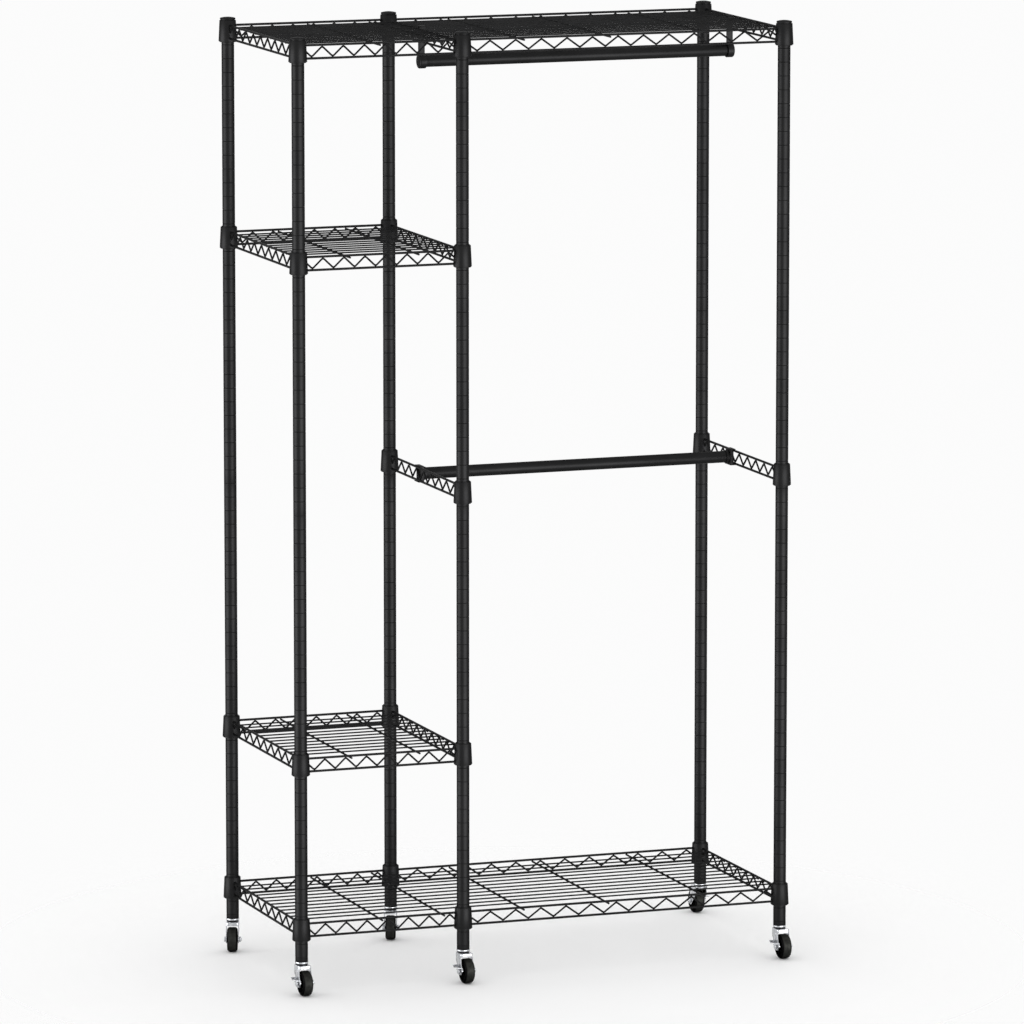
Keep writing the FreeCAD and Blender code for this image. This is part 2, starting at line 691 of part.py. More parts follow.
def build():
    """Every node by name, each a list of separate solids."""
    nodes = {}
    lower = lower_post()
    upper = upper_post()
    for place, (x, y) in POSTS.items():
        nodes[f"post_{place}_lower"] = [placed(lower, x, y)]
        nodes[f"post_{place}_upper"] = [placed(upper, x, y)]
    nodes["post_connectors"] = at_every_post(post_connector())
    nodes["post_caps"] = at_every_post(post_cap())
    nodes["post_inserts"] = at_every_post(post_insert())

    nodes["top_shelf"] = shelf(WIDE_COLUMNS, TOP_SHELF_GROOVE_COUNT, WIDE_CROSS_SHARES, middle_truss=True)
    nodes["upper_side_shelf"] = shelf(SIDE_COLUMNS, UPPER_SIDE_SHELF_GROOVE_COUNT, SIDE_CROSS_SHARES)
    nodes["lower_side_shelf"] = shelf(SIDE_COLUMNS, LOWER_SIDE_SHELF_GROOVE_COUNT, SIDE_CROSS_SHARES)
    nodes["bottom_shelf"] = shelf(WIDE_COLUMNS, BOTTOM_SHELF_GROOVE_COUNT, WIDE_CROSS_SHARES)
    nodes["middle_side_rail"] = rail(MIDDLE_X)
    nodes["right_side_rail"] = rail(RIGHT_X)

    nodes["top_shelf_sleeves"] = sleeves(posts_in(WIDE_COLUMNS), TOP_SHELF_GROOVE_COUNT)
    nodes["upper_side_shelf_sleeves"] = sleeves(posts_in(SIDE_COLUMNS), UPPER_SIDE_SHELF_GROOVE_COUNT)
    nodes["lower_side_shelf_sleeves"] = sleeves(posts_in(SIDE_COLUMNS), LOWER_SIDE_SHELF_GROOVE_COUNT)
    nodes["bottom_shelf_sleeves"] = sleeves(posts_in(WIDE_COLUMNS), BOTTOM_SHELF_GROOVE_COUNT)
    nodes["side_rail_sleeves"] = sleeves(posts_in((MIDDLE_X, RIGHT_X)), RAIL_GROOVE_COUNT)

    nodes["upper_rod"] = [hanging_rod(HANGER_INSET + HANGER_SHEET, UPPER_ROD_Z)]
    nodes["lower_rod"] = [hanging_rod(HOLDER_INSET, LOWER_ROD_Z)]
    hanger = rod_hanger()
    nodes["upper_rod_hanger_left"] = [placed(hanger, MIDDLE_X + HANGER_INSET, 0)]
    nodes["upper_rod_hanger_right"] = [placed(mirrored_in_x(hanger), RIGHT_X - HANGER_INSET, 0)]
    holder = rod_holder()
    nodes["lower_rod_holder_left"] = [placed(holder, MIDDLE_X, 0)]
    nodes["lower_rod_holder_right"] = [placed(mirrored_in_x(holder), RIGHT_X, 0)]

    nodes["caster_stems"] = at_every_post(caster_stem())
    nodes["caster_races"] = at_every_post(caster_race())
    fork = caster_fork()
    wheel = caster_wheel()
    lever = brake_lever()
    for place, (x, y) in POSTS.items():
        heading = SWIVEL_HEADINGS[place]
        braked = place in BRAKED_CASTERS
        nodes[f"caster_fork_{place}"] = [placed(fork, x, y, heading=heading)]
        nodes[f"caster_wheel_{place}"] = [placed(wheel, x, y, heading=heading)]
        axle = caster_axle(braked)
        nodes[f"caster_axle_{place}"] = [placed(piece, x, y, heading=heading) for piece in axle]
        if braked:
            nodes[f"brake_lever_{place}"] = [placed(lever, x, y, heading=heading)]
    return nodes


os.makedirs("parts", exist_ok=True)
for name, pieces in build().items():
    shape = pieces[0] if len(pieces) == 1 else Part.makeCompound(pieces)
    shape.exportStep(os.path.join("parts", name + ".step"))
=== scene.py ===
"""Open frame wardrobe: coated wire shelves and hanging rods on grooved posts with casters."""

import json
import math

import bmesh
import bpy
from bpy.props import FloatProperty, FloatVectorProperty, IntProperty, PointerProperty
from bpy.types import Operator, Panel, PropertyGroup
from mathutils import Matrix, Vector


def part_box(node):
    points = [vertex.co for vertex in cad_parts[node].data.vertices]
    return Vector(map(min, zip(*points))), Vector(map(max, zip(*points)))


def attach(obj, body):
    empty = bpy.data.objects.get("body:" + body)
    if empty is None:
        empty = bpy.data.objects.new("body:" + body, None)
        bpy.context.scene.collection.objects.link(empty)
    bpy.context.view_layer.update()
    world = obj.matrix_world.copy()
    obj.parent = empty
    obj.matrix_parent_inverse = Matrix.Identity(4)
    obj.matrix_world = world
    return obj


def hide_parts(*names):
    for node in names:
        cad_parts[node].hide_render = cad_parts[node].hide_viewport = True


bl_info = {
    "name": "Open Frame Wardrobe",
    "version": (1, 0, 0),
    "blender": (4, 5, 0),
    "location": "3D View > Sidebar > Wardrobe",
    "description": "Dresses the open frame wardrobe in coated steel, moulded plastic and bright plate",
    "category": "Object",
}

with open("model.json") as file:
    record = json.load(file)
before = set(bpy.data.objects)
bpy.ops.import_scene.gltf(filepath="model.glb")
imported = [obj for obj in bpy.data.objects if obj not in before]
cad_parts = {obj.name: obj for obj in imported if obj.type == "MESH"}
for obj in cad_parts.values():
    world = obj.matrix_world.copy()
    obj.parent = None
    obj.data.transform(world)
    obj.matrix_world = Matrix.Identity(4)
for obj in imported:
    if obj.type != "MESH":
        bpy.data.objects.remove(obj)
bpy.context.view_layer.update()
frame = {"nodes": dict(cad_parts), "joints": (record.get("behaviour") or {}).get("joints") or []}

FRONT_PLACES = ("front_left", "front_middle", "front_right")
BACK_PLACES = ("back_left", "back_middle", "back_right")
PLACES = FRONT_PLACES + BACK_PLACES
JOINTS = {joint["name"]: joint for joint in frame["joints"]}
BRAKED_PLACES = [place for place in PLACES if f"brake_{place}" in JOINTS]
SHELVES = ("top_shelf", "upper_side_shelf", "lower_side_shelf", "bottom_shelf")
RAILS = ("middle_side_rail", "right_side_rail")
SHELF_SLEEVES = {shelf: f"{shelf}_sleeves" for shelf in SHELVES}
RAIL_SLEEVES = {rail: "side_rail_sleeves" for rail in RAILS}
SLEEVES = SHELF_SLEEVES | RAIL_SLEEVES
ROD_ENDS = ("left", "right")
BOTH_SIDES = (-1, 1)

# Cross wires, as shares of the width of a wide shelf and of a side shelf
WIDE_CROSS_SHARES = (0.167, 0.294, 0.457, 0.648, 0.840)
SIDE_CROSS_SHARES = (0.294, 0.730)

# How far a wheel's ribs lie inside its rim, as a share of the dish's depth
SPOKE_SINK_SHARE = 0.25

# Places in a piece's list of finishes
# Collars keep the posts' coat, while the wires get a darker copy of it as painted shade
COLLAR_FINISH = 1
# The tread's finish is painted lighter than the wheel's side, as painted sheen where light falls on the
# tread
LIT_TREAD_FINISH = 1

# Steps across a rounding
EDGE_STEPS = 2
PRESSED_STEPS = 3
CUP_STEPS = 4
WIDE_STEPS = 6

# Noise behind every finish
PATCH_DETAIL = 5
PATCH_STOPS = (0.35, 0.70)
GRAIN_DETAIL = 3
GRAIN_STOPS = (0.3, 0.7)
GRAIN_STRENGTH = 0.5

# Depth of each finish's grain
COAT_GRAIN = 0.00004
PLASTIC_GRAIN = 0.00003
PLATE_GRAIN = 0.00001
STEEL_GRAIN = 0.00002
WHEEL_GRAIN = 0.00002
TREAD_GRAIN = 0.00003
FLOOR_GRAIN = 0.00001

HEX_SIDES = 6
FULL_TURN = 2 * math.pi
HALF_TURN = math.pi
QUARTER_TURN = math.pi / 2
MERGE_DISTANCE = 0.000002
SHARP_ANGLE = math.radians(32)
FLAT_ANGLE = math.radians(1)
X_AXIS = Vector((1, 0, 0))
Y_AXIS = Vector((0, 1, 0))
Z_AXIS = Vector((0, 0, 1))
UNMOVED = Matrix.Identity(4)
ALONG_X = Matrix.Rotation(QUARTER_TURN, 4, "Y")
ABOUT_Z = Matrix.Rotation(QUARTER_TURN, 4, "Z")
MIRROR_X = Matrix.Scale(-1, 4, X_AXIS)


def length(name, description, default):
    return FloatProperty(name=name, description=description, default=default, unit="LENGTH", precision=4)


def turn(name, description, default):
    return FloatProperty(name=name, description=description, default=default, subtype="ANGLE")


def share(name, description, default):
    return FloatProperty(name=name, description=description, default=default, subtype="FACTOR", min=0, max=1)


def point(name, description, default):
    return FloatVectorProperty(name=name, description=description, default=default, subtype="TRANSLATION",
                               unit="LENGTH")


def level(name, description, default):
    return FloatProperty(name=name, description=description, default=default, min=0)


def count(name, description, default):
    return IntProperty(name=name, description=description, default=default, min=1)


def colour(name, description, default):
    return FloatVectorProperty(name=name, description=description, default=default, subtype="COLOR",
                               size=4, min=0, max=1)


class PostSizes(PropertyGroup):
    """Sizes of the grooved posts and their caps."""

    wall: length("Wall", "Thickness of the post's tube", 0.0012)
    groove_pitch: length("Groove pitch", "Distance from one groove to the next", 0.0277)
    first_groove: length("First groove", "Height of the lowest groove above the post's foot", 0.0092)
    groove_width: length("Groove width", "Width of a groove at the post's surface", 0.0014)
    groove_depth: length("Groove depth", "Depth of a groove", 0.0005)
    end_round: length("End rounding", "Rounding of the tube's cut ends", 0.0006)
    facets: count("Facets", "Flat strips round a post", 36)
    cap_rim: length("Cap rim", "Height of a cap's straight rim", 0.003)
    cap_plug: length("Cap plug", "Length of the plug under a cap", 0.012)
    cap_round: length("Cap rounding", "Rounding of the edges of a cap's rim", 0.0007)
    cap_rings: count("Cap rings", "Rings that shape a cap's dome", 6)


class CollarSizes(PropertyGroup):
    """Sizes of the tapered collars and of the split sleeves inside them."""

    height: length("Height", "Height of a collar", 0.042)
    top_diameter: length("Top diameter", "Outer diameter of a collar at its top", 0.033)
    foot_diameter: length("Foot diameter", "Outer diameter of a collar at its foot", 0.037)
    wall: length("Wall", "Thickness of a collar", 0.0018)
    edge_round: length("Edge rounding", "Rounding of a collar's edges", 0.00035)
    sleeve_proud: length("Sleeve proud", "How far a sleeve stands out of its collar", 0.0015)
    sleeve_gap: length("Sleeve gap", "Gap between the two halves of a sleeve", 0.0016)
    fit: length("Fit", "Clearance between sleeve, collar and post", 0.0001)
    facets: count("Facets", "Flat strips round a collar", 36)


class WireSizes(PropertyGroup):
    """Sizes of the welded wires of the shelves and rails."""

    truss_height: length("Truss height", "Height from a truss's lower wire to its upper one", 0.026)
    truss_foot: length("Truss foot", "Height of the lower wire above a collar's foot", 0.0058)
    edge: length("Edge wire", "Diameter of the wires along a truss", 0.0048)
    zigzag: length("Zigzag wire", "Diameter of the bent wire in a truss", 0.0038)
    zigzag_pitch: length("Zigzag pitch", "Wanted length of one wave of the bent wire", 0.046)
    long_zigzag_pitch: length("Long zigzag pitch", "Wanted length of one wave in a long truss", 0.054)
    long_span: length("Long span", "Length from which a truss counts as long", 0.5)
    zigzag_bend: length("Zigzag bend", "Radius of the bends, at the middle of the wire", 0.0042)
    zigzag_foot_share: share("Zigzag foot", "Place of the first foot, as a share of a wave", 0.25)
    deck: length("Deck wire", "Diameter of the wires that form a deck", 0.0032)
    deck_count: count("Deck wires", "Number of wires in a deck", 12)
    deck_edge: length("Deck edge", "Distance from a row of posts to the nearest deck wire", 0.049)
    cross: length("Cross wire", "Diameter of the wires beneath a deck", 0.004)
    cross_slack: length("Cross slack", "Farthest that a cross wire lies from a zigzag's foot", 0.010)
    weld: length("Weld", "Size of a weld between two wires", 0.0019)
    facets: count("Facets", "Flat strips round an edge wire or a cross wire", 12)
    zigzag_facets: count("Zigzag facets", "Flat strips round a bent wire", 8)
    deck_facets: count("Deck facets", "Flat strips round a deck wire", 10)
    bend_steps: count("Bend steps", "Steps in a bend", 5)


class RodSizes(PropertyGroup):
    """Sizes of the rods' hangers and holders."""

    wall: length("Wall", "Thickness of a rod's tube", 0.001)
    end_round: length("End rounding", "Rounding of a rod's cut ends", 0.00025)
    clearance: length("Clearance", "Room between a rod and its cup", 0.0002)
    hanger_sheet: length("Hanger sheet", "Thickness of a hanger's strap", 0.0025)
    hanger_lip: length("Hanger lip", "Length of the lip over the deck wire", 0.009)
    hanger_round: length("Hanger rounding", "Rounding of the closed end of a hanger's cup", 0.0028)
    strap_round: length("Strap rounding", "Rounding of a strap's bends", 0.0009)
    holder_block: length("Holder block", "Thickness of a holder's block beyond the wires", 0.007)
    holder_lip: length("Holder lip", "Thickness of a holder's lips over and under the wires", 0.0012)
    holder_wall: length("Holder wall", "Thickness of a holder's cup", 0.0012)
    holder_round: length("Holder rounding", "Rounding of a holder's edges", 0.0009)
    cup_round: length("Cup rounding", "Rounding of the edges of a holder's cup", 0.0004)
    screw: length("Screw", "Diameter of the screw under a holder's cup", 0.0045)
    screw_round: length("Screw rounding", "Rounding of the screw's head", 0.0003)
    screw_facets: count("Screw facets", "Flat strips round a screw", 16)
    facets: count("Facets", "Flat strips round a rod", 40)


class CasterSizes(PropertyGroup):
    """Sizes of the casters."""

    flange_diameter: length("Flange diameter", "Diameter of the flange under a post", 0.0266)
    flange_height: length("Flange height", "Height of the flange", 0.0033)
    stem_diameter: length("Stem diameter", "Diameter of the stem and kingpin", 0.010)
    rivet_diameter: length("Rivet diameter", "Diameter of the kingpin's riveted head", 0.015)
    rivet_height: length("Rivet height", "Height of the kingpin's riveted head", 0.0025)
    race_diameter: length("Race diameter", "Diameter of the ring between flange and fork", 0.0246)
    race_lip: length("Race lip", "Depth of the line round the ring", 0.0005)
    sheet: length("Fork sheet", "Thickness of the pressed fork", 0.002)
    half_width: length("Fork half width", "Distance from the wheel's middle to the fork's outside", 0.0134)
    front: length("Fork front", "Reach of the fork's hood in front of the swivel axis", 0.023)
    back: length("Fork back", "Reach of the fork's side plates behind the swivel axis", 0.006)
    corner: length("Fork corner", "Radius of the hood's front corners", 0.005)
    back_edge: length("Fork back edge", "Length of the upright back edge of a side plate", 0.018)
    skirt: length("Fork skirt", "Height of the skirt under the crown", 0.005)
    eye: length("Fork eye", "Diameter of a side plate's foot round the axle", 0.016)
    press_round: length("Press rounding", "Rounding of the fork's pressed edges", 0.0011)
    sheet_inset: length("Sheet inset", "How far a side plate's face lies inside the hood's", 0.00012)
    rib_width: length("Rib width", "Width of the rib pressed into a side plate", 0.0034)
    rib_height: length("Rib height", "Length of the rib", 0.015)
    rib_proud: length("Rib proud", "How far the rib stands out", 0.0003)
    rib_place: length("Rib place", "Distance of the rib in front of the swivel axis", 0.0125)
    wheel_width: length("Wheel width", "Width of a wheel's tread", 0.021)
    wheel_shoulder: length("Wheel shoulder", "Rounding of a wheel's shoulders", 0.0055)
    # The tread's lighter finish is painted sheen, and it wraps this far over each shoulder
    lit_tread_edge: length("Tread edge", "Depth to which the tread's dust wraps over a shoulder", 0.0005)
    wheel_rim: length("Wheel rim", "Height of the rim round a wheel's dished side", 0.0065)
    wheel_recess: length("Wheel recess", "Depth of a wheel's dished side", 0.0025)
    wheel_line: length("Wheel line", "Width of the mould line round the tread", 0.0006)
    hub_diameter: length("Hub diameter", "Diameter of a wheel's hub", 0.015)
    hub_proud: length("Hub proud", "How far a hub stands out of its wheel", 0.0006)
    wheel_facets: count("Wheel facets", "Flat strips round a wheel", 64)
    spokes: count("Spokes", "Ribs between a wheel's hub and rim", 6)
    spoke_width: length("Spoke width", "Width of a rib in a wheel's side", 0.0022)
    axle_diameter: length("Axle diameter", "Diameter of the axle bolt", 0.006)
    hex_width: length("Hex width", "Width of the axle's head and nut over their flats", 0.010)
    head_height: length("Head height", "Height of the bolt's head", 0.0035)
    nut_height: length("Nut height", "Height of the nut", 0.004)
    axle_end: length("Axle end", "How far the bolt stands out of its nut", 0.0015)
    axle_facets: count("Axle facets", "Flat strips round an axle bolt", 20)
    lever_sheet: length("Lever sheet", "Thickness of a brake lever", 0.0016)
    lever_gap: length("Lever gap", "Gap between fork and lever", 0.0004)
    lever_eye: length("Lever eye", "Diameter of the lever round the axle", 0.015)
    lever_reach: length("Lever reach", "Reach of a lever's arms", 0.017)
    lever_arm: length("Lever arm", "Width of a lever's arms", 0.008)
    lever_ear: length("Lever ear", "How far the pedals stand out of the lever", 0.0098)
    lever_ear_length: length("Lever ear length", "Length of a pedal along its arm", 0.008)
    lever_rise: turn("Lever rise", "Rise of the arms", math.radians(25))
    lever_tilt: turn("Lever tilt", "Tilt of the lever at rest", math.radians(4))
    lever_facets: count("Lever facets", "Flat strips round a lever's eye", 32)
    small_round: length("Small rounding", "Rounding of small edges", 0.0004)


class Finishes(PropertyGroup):
    """Colours of the finishes."""

    coat: colour("Coat", "Black powder coat", (0.0150, 0.0150, 0.0153, 1))
    coat_pale: colour("Pale coat", "Powder coat where it is a little chalky", (0.0192, 0.0192, 0.0196, 1))
    # The wires' colours are the posts' black powder coat painted darker, as painted shade; the paler one
    # drifts in random patches
    wire: colour("Wire coat", "Coat of the welded wires", (0.0125, 0.0125, 0.0128, 1))
    shaded_wire_pale: colour("Pale wire coat", "Coat of the wires where it is thin", (0.0165, 0.0165, 0.0168, 1))
    plastic: colour("Plastic", "Moulded black plastic", (0.0150, 0.0150, 0.0153, 1))
    plastic_pale: colour("Pale plastic", "Rubbed black plastic", (0.0200, 0.0200, 0.0204, 1))
    plate: colour("Plate", "Bright plated steel", (0.60, 0.61, 0.63, 1))
    plate_dull: colour("Dull plate", "Plated steel where it is dull", (0.43, 0.44, 0.46, 1))
    steel: colour("Steel", "Plain steel", (0.33, 0.33, 0.34, 1))
    steel_dark: colour("Dark steel", "Plain steel where it is darker", (0.22, 0.22, 0.23, 1))
    wheel: colour("Wheel", "Side of a wheel", (0.0030, 0.0030, 0.0031, 1))
    wheel_pale: colour("Pale wheel", "Dusty side of a wheel", (0.0050, 0.0050, 0.0052, 1))
    # Both tread colours are painted sheen, lighter than the wheel's side; the paler one shows in random
    # patches
    tread: colour("Tread", "Tread of a wheel", (0.0200, 0.0204, 0.0190, 1))
    lit_tread_pale: colour("Pale tread", "Dusty tread", (0.0330, 0.0336, 0.0310, 1))


class StageSettings(PropertyGroup):
    """Camera, floor and light."""

    camera_place: point("Camera place", "Where the camera stands", (-5.350, -14.756, 3.398))
    camera_azimuth: turn("Camera azimuth", "Direction of the camera, from +Y towards +X",
                         math.radians(19.977))
    camera_drop: turn("Camera drop", "Tilt of the camera below the horizon", math.radians(9.021))
    lens: FloatProperty(name="Lens", description="Focal length", default=277.56, unit="CAMERA")
    floor_size: length("Floor size", "Distance from the middle at which the floor has faded out", 1.30)
    floor_solid: length("Solid floor", "Distance from the middle at which the floor begins to fade", 0.62)
    floor: colour("Floor", "Pale floor", (0.870, 0.870, 0.870, 1))
    floor_pale: colour("Pale floor", "Floor where it is a little paler", (0.885, 0.885, 0.885, 1))
    sky: colour("Sky", "Soft light from all round", (1, 1, 1, 1))
    sky_level: level("Sky level", "Strength of the light from above", 1.15)
    horizon_level: level("Horizon level", "Strength of the light from the horizon and below", 0.97)
    sky_rise: share("Sky rise", "Sine of the angle above the horizon at which the light is full", 0.5)
    lamp_width: length("Lamp width", "Width of each lamp's panel", 6.6)
    lamp_height: length("Lamp height", "Height of each lamp's panel", 4.6)
    lamp_power: level("Lamp power", "Power of each lamp", 420)
    left_place: point("Left lamp place", "Where the left lamp stands", (-6.98, 0.49, -0.20))
    right_place: point("Right lamp place", "Where the right lamp stands", (2.39, -6.58, -0.20))


class WardrobeSettings(PropertyGroup):
    """All settings of the wardrobe."""

    posts: PointerProperty(type=PostSizes)
    collars: PointerProperty(type=CollarSizes)
    wires: PointerProperty(type=WireSizes)
    rods: PointerProperty(type=RodSizes)
    casters: PointerProperty(type=CasterSizes)
    finishes: PointerProperty(type=Finishes)
    stage: PointerProperty(type=StageSettings)


# Places read from the frame

def middle(node):
    low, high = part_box(node)
    return (low + high) / 2


def half_width(node):
    low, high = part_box(node)
    return (high.x - low.x) / 2


def half_height(node):
    low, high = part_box(node)
    return (high.z - low.z) / 2


def post_axis(place):
    centre = middle(f"post_{place}_lower")
    return Vector((centre.x, centre.y, 0))


def columns_of(node):
    """Left to right, the places across of the posts that carry a shelf."""
    low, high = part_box(node)
    across = [post_axis(place).x for place in FRONT_PLACES]
    return [x for x in across if low.x < x < high.x]


def collar_middle(node):
    return middle(SLEEVES[node]).z


def rod_end_matrix(node, side):
    """Where a piece made for a rod's left end, from x = 0 on, stands at that end or at the other."""
    low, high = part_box(node)
    if side == "left":
        return Matrix.Translation((low.x, 0, 0))
    return Matrix.Translation((high.x, 0, 0)) @ MIRROR_X


def caster_matrix(place):
    """Where a caster made about the Z axis, with its wheel towards -Y, stands."""
    axis = JOINTS[f"roll_{place}"]["axis"]
    heading = math.atan2(axis[1], axis[0])
    return Matrix.Translation(post_axis(place)) @ Matrix.Rotation(heading, 4, "Z")


def axle_place():
    """Trail and height of an axle in a caster's own frame."""
    swivel = Vector(JOINTS["swivel_front_left"]["pos_m"])
    roll = Vector(JOINTS["roll_front_left"]["pos_m"])
    return Vector((0, roll.y - swivel.y, roll.z))


# Shapes

def meets(one, other):
    return abs(one - other) < MERGE_DISTANCE


def edges_where(shape, test):
    """Edges whose two ends both pass a test of their place."""
    return [edge for edge in shape.edges if all(test(vert.co) for vert in edge.verts)]


def sharp(edges):
    return [edge for edge in edges if edge.calc_face_angle(0) > SHARP_ANGLE]


def rounded(shape, edges, radius, steps=EDGE_STEPS):
    bmesh.ops.bevel(shape, geom=edges, offset=radius, offset_type="OFFSET", segments=steps, profile=0.5,
                    affect="EDGES", material=-1, clamp_overlap=True)


def join(bm, shape, matrix):
    """Add a shape to a piece at its place, and let go of the shape."""
    bmesh.ops.transform(shape, matrix=matrix, verts=shape.verts)
    mesh = bpy.data.meshes.new("shape")
    shape.to_mesh(mesh)
    shape.free()
    bm.from_mesh(mesh)
    bpy.data.meshes.remove(mesh)


def outlined(corners):
    """Shape of one face, with its corners taken in turn."""
    shape = bmesh.new()
    verts = [shape.verts.new(corner) for corner in corners]
    edges = [shape.edges.new(pair) for pair in zip(verts, verts[1:] + verts[:1])]
    bmesh.ops.contextual_create(shape, geom=edges)
    return shape


def turned(outline, facets, closed=True, radius=0):
    """Spin (radius, height) points all round Z, and round the sharp rings that result."""
    shape = bmesh.new()
    verts = [shape.verts.new((reach, 0, height)) for reach, height in outline]
    pairs = list(zip(verts, verts[1:]))
    if closed:
        pairs.append((verts[-1], verts[0]))
    edges = [shape.edges.new(pair) for pair in pairs]
    bmesh.ops.spin(shape, geom=verts + edges, cent=(0, 0, 0), axis=Z_AXIS, angle=FULL_TURN, steps=facets,
                   use_merge=True)
    bmesh.ops.remove_doubles(shape, verts=shape.verts, dist=MERGE_DISTANCE)
    bmesh.ops.recalc_face_normals(shape, faces=shape.faces)
    if radius:
        rounded(shape, sharp(shape.edges), radius)
    return shape


def add_turned(bm, outline, facets, matrix, closed=True, radius=0):
    join(bm, turned(outline, facets, closed, radius), matrix)


def add_part_turned(bm, outline, facets, angle, matrix):
    """Spin a face of (radius, height) points part of the way round Z."""
    shape = outlined([(reach, 0, height) for reach, height in outline])
    bmesh.ops.spin(shape, geom=shape.faces[:], cent=(0, 0, 0), axis=Z_AXIS, angle=angle, steps=facets)
    join(bm, shape, matrix)


def add_wire(bm, start, end, diameter, facets):
    run = end - start
    radius = diameter / 2
    made = bmesh.ops.create_cone(bm, cap_ends=True, segments=facets, radius1=radius, radius2=radius,
                                 depth=run.length)
    lean = run.to_track_quat("Z", "Y").to_matrix().to_4x4()
    bmesh.ops.transform(bm, matrix=Matrix.Translation((start + end) / 2) @ lean, verts=made["verts"])


def add_bead(bm, place, size):
    bmesh.ops.create_icosphere(bm, subdivisions=1, radius=size, matrix=Matrix.Translation(place))


def add_block(bm, corner, opposite, matrix, radius, steps=EDGE_STEPS):
    """Block between two opposite corners, with rounded edges."""
    shape = bmesh.new()
    spread = opposite - corner
    size = Matrix.Diagonal((abs(spread.x), abs(spread.y), abs(spread.z), 1))
    bmesh.ops.create_cube(shape, size=1, matrix=Matrix.Translation((corner + opposite) / 2) @ size)
    rounded(shape, sharp(shape.edges), radius, steps)
    join(bm, shape, matrix)


def add_extruded(bm, corners, push, matrix, radius):
    """Face through a few corners, pushed into a solid whose edges are then rounded."""
    shape = outlined(corners)
    pushed = bmesh.ops.extrude_face_region(shape, geom=shape.faces[:], use_keep_orig=True)
    moved = [item for item in pushed["geom"] if isinstance(item, bmesh.types.BMVert)]
    bmesh.ops.translate(shape, vec=push, verts=moved)
    bmesh.ops.recalc_face_normals(shape, faces=shape.faces)
    rounded(shape, sharp(shape.edges), radius)
    join(bm, shape, matrix)


def add_hull(bm, points, radius):
    """Solid that just holds some points, with rounded edges."""
    shape = bmesh.new()
    verts = [shape.verts.new(place) for place in points]
    bmesh.ops.convex_hull(shape, input=verts)
    spare = [vert for vert in shape.verts if not vert.link_faces]
    bmesh.ops.delete(shape, geom=spare, context="VERTS")
    bmesh.ops.dissolve_limit(shape, angle_limit=FLAT_ANGLE, edges=shape.edges, verts=shape.verts)
    bmesh.ops.recalc_face_normals(shape, faces=shape.faces)
    rounded(shape, sharp(shape.edges), radius)
    join(bm, shape, UNMOVED)


def ring_points(centre, diameter, facets):
    """Points round a circle across X."""
    points = []
    for index in range(facets):
        angle = FULL_TURN * index / facets
        points.append(centre + Vector((0, math.cos(angle), math.sin(angle))) * diameter / 2)
    return points


def finish_piece(bm, finish, node, body, slot, *materials):
    """Make a bmesh the piece that stands for a CAD node and rides on a body."""
    bmesh.ops.remove_doubles(bm, verts=bm.verts, dist=MERGE_DISTANCE)
    bmesh.ops.recalc_face_normals(bm, faces=bm.faces)
    name = f"{finish}_{node}"
    mesh = bpy.data.meshes.new(name)
    bm.to_mesh(mesh)
    bm.free()
    for material in materials:
        mesh.materials.append(material)
    mesh.shade_smooth()
    mesh.set_sharp_from_angle(angle=SHARP_ANGLE)
    piece = bpy.data.objects.new(name, mesh)
    bpy.context.scene.collection.objects.link(piece)
    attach(piece, body)
    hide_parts(node)


# Finishes

def speckled(name, dark, pale, *, patch_scale, grain_scale, grain_depth, roughness, metallic=0,
             specular=0.5, tint=1):
    """Material whose colour drifts in patches, with a fine grain in its gloss and its relief."""
    if name in bpy.data.materials:
        return bpy.data.materials[name]
    material = bpy.data.materials.new(name)
    material.use_nodes = True
    nodes = material.node_tree.nodes
    links = material.node_tree.links
    shader = nodes["Principled BSDF"]
    shader.inputs["Metallic"].default_value = metallic
    shader.inputs["Specular IOR Level"].default_value = specular
    shader.inputs["Specular Tint"].default_value = (tint, tint, tint, 1)
    place = nodes.new("ShaderNodeTexCoord")
    patches = nodes.new("ShaderNodeTexNoise")
    patches.inputs["Scale"].default_value = patch_scale
    patches.inputs["Detail"].default_value = PATCH_DETAIL
    grain = nodes.new("ShaderNodeTexNoise")
    grain.inputs["Scale"].default_value = grain_scale
    grain.inputs["Detail"].default_value = GRAIN_DETAIL
    for texture in (patches, grain):
        links.new(place.outputs["Object"], texture.inputs["Vector"])
    drift = nodes.new("ShaderNodeValToRGB")
    for element, stop, shade in zip(drift.color_ramp.elements, PATCH_STOPS, (dark, pale)):
        element.position = stop
        element.color = shade
    links.new(patches.outputs["Fac"], drift.inputs["Fac"])
    links.new(drift.outputs["Color"], shader.inputs["Base Color"])
    gloss = nodes.new("ShaderNodeMapRange")
    gloss.inputs["From Min"].default_value = GRAIN_STOPS[0]
    gloss.inputs["From Max"].default_value = GRAIN_STOPS[1]
    gloss.inputs["To Min"].default_value = roughness[0]
    gloss.inputs["To Max"].default_value = roughness[1]
    links.new(grain.outputs["Fac"], gloss.inputs["Value"])
    links.new(gloss.outputs["Result"], shader.inputs["Roughness"])
    relief = nodes.new("ShaderNodeBump")
    relief.inputs["Strength"].default_value = GRAIN_STRENGTH
    relief.inputs["Distance"].default_value = grain_depth
    links.new(grain.outputs["Fac"], relief.inputs["Height"])
    links.new(relief.outputs["Normal"], shader.inputs["Normal"])
    return material


def coat(context):
    finishes = context.scene.wardrobe.finishes
    return speckled("black_powder_coat", finishes.coat, finishes.coat_pale, patch_scale=14, grain_scale=1400,
                    grain_depth=COAT_GRAIN, roughness=(0.37, 0.47), metallic=1, tint=0.5)


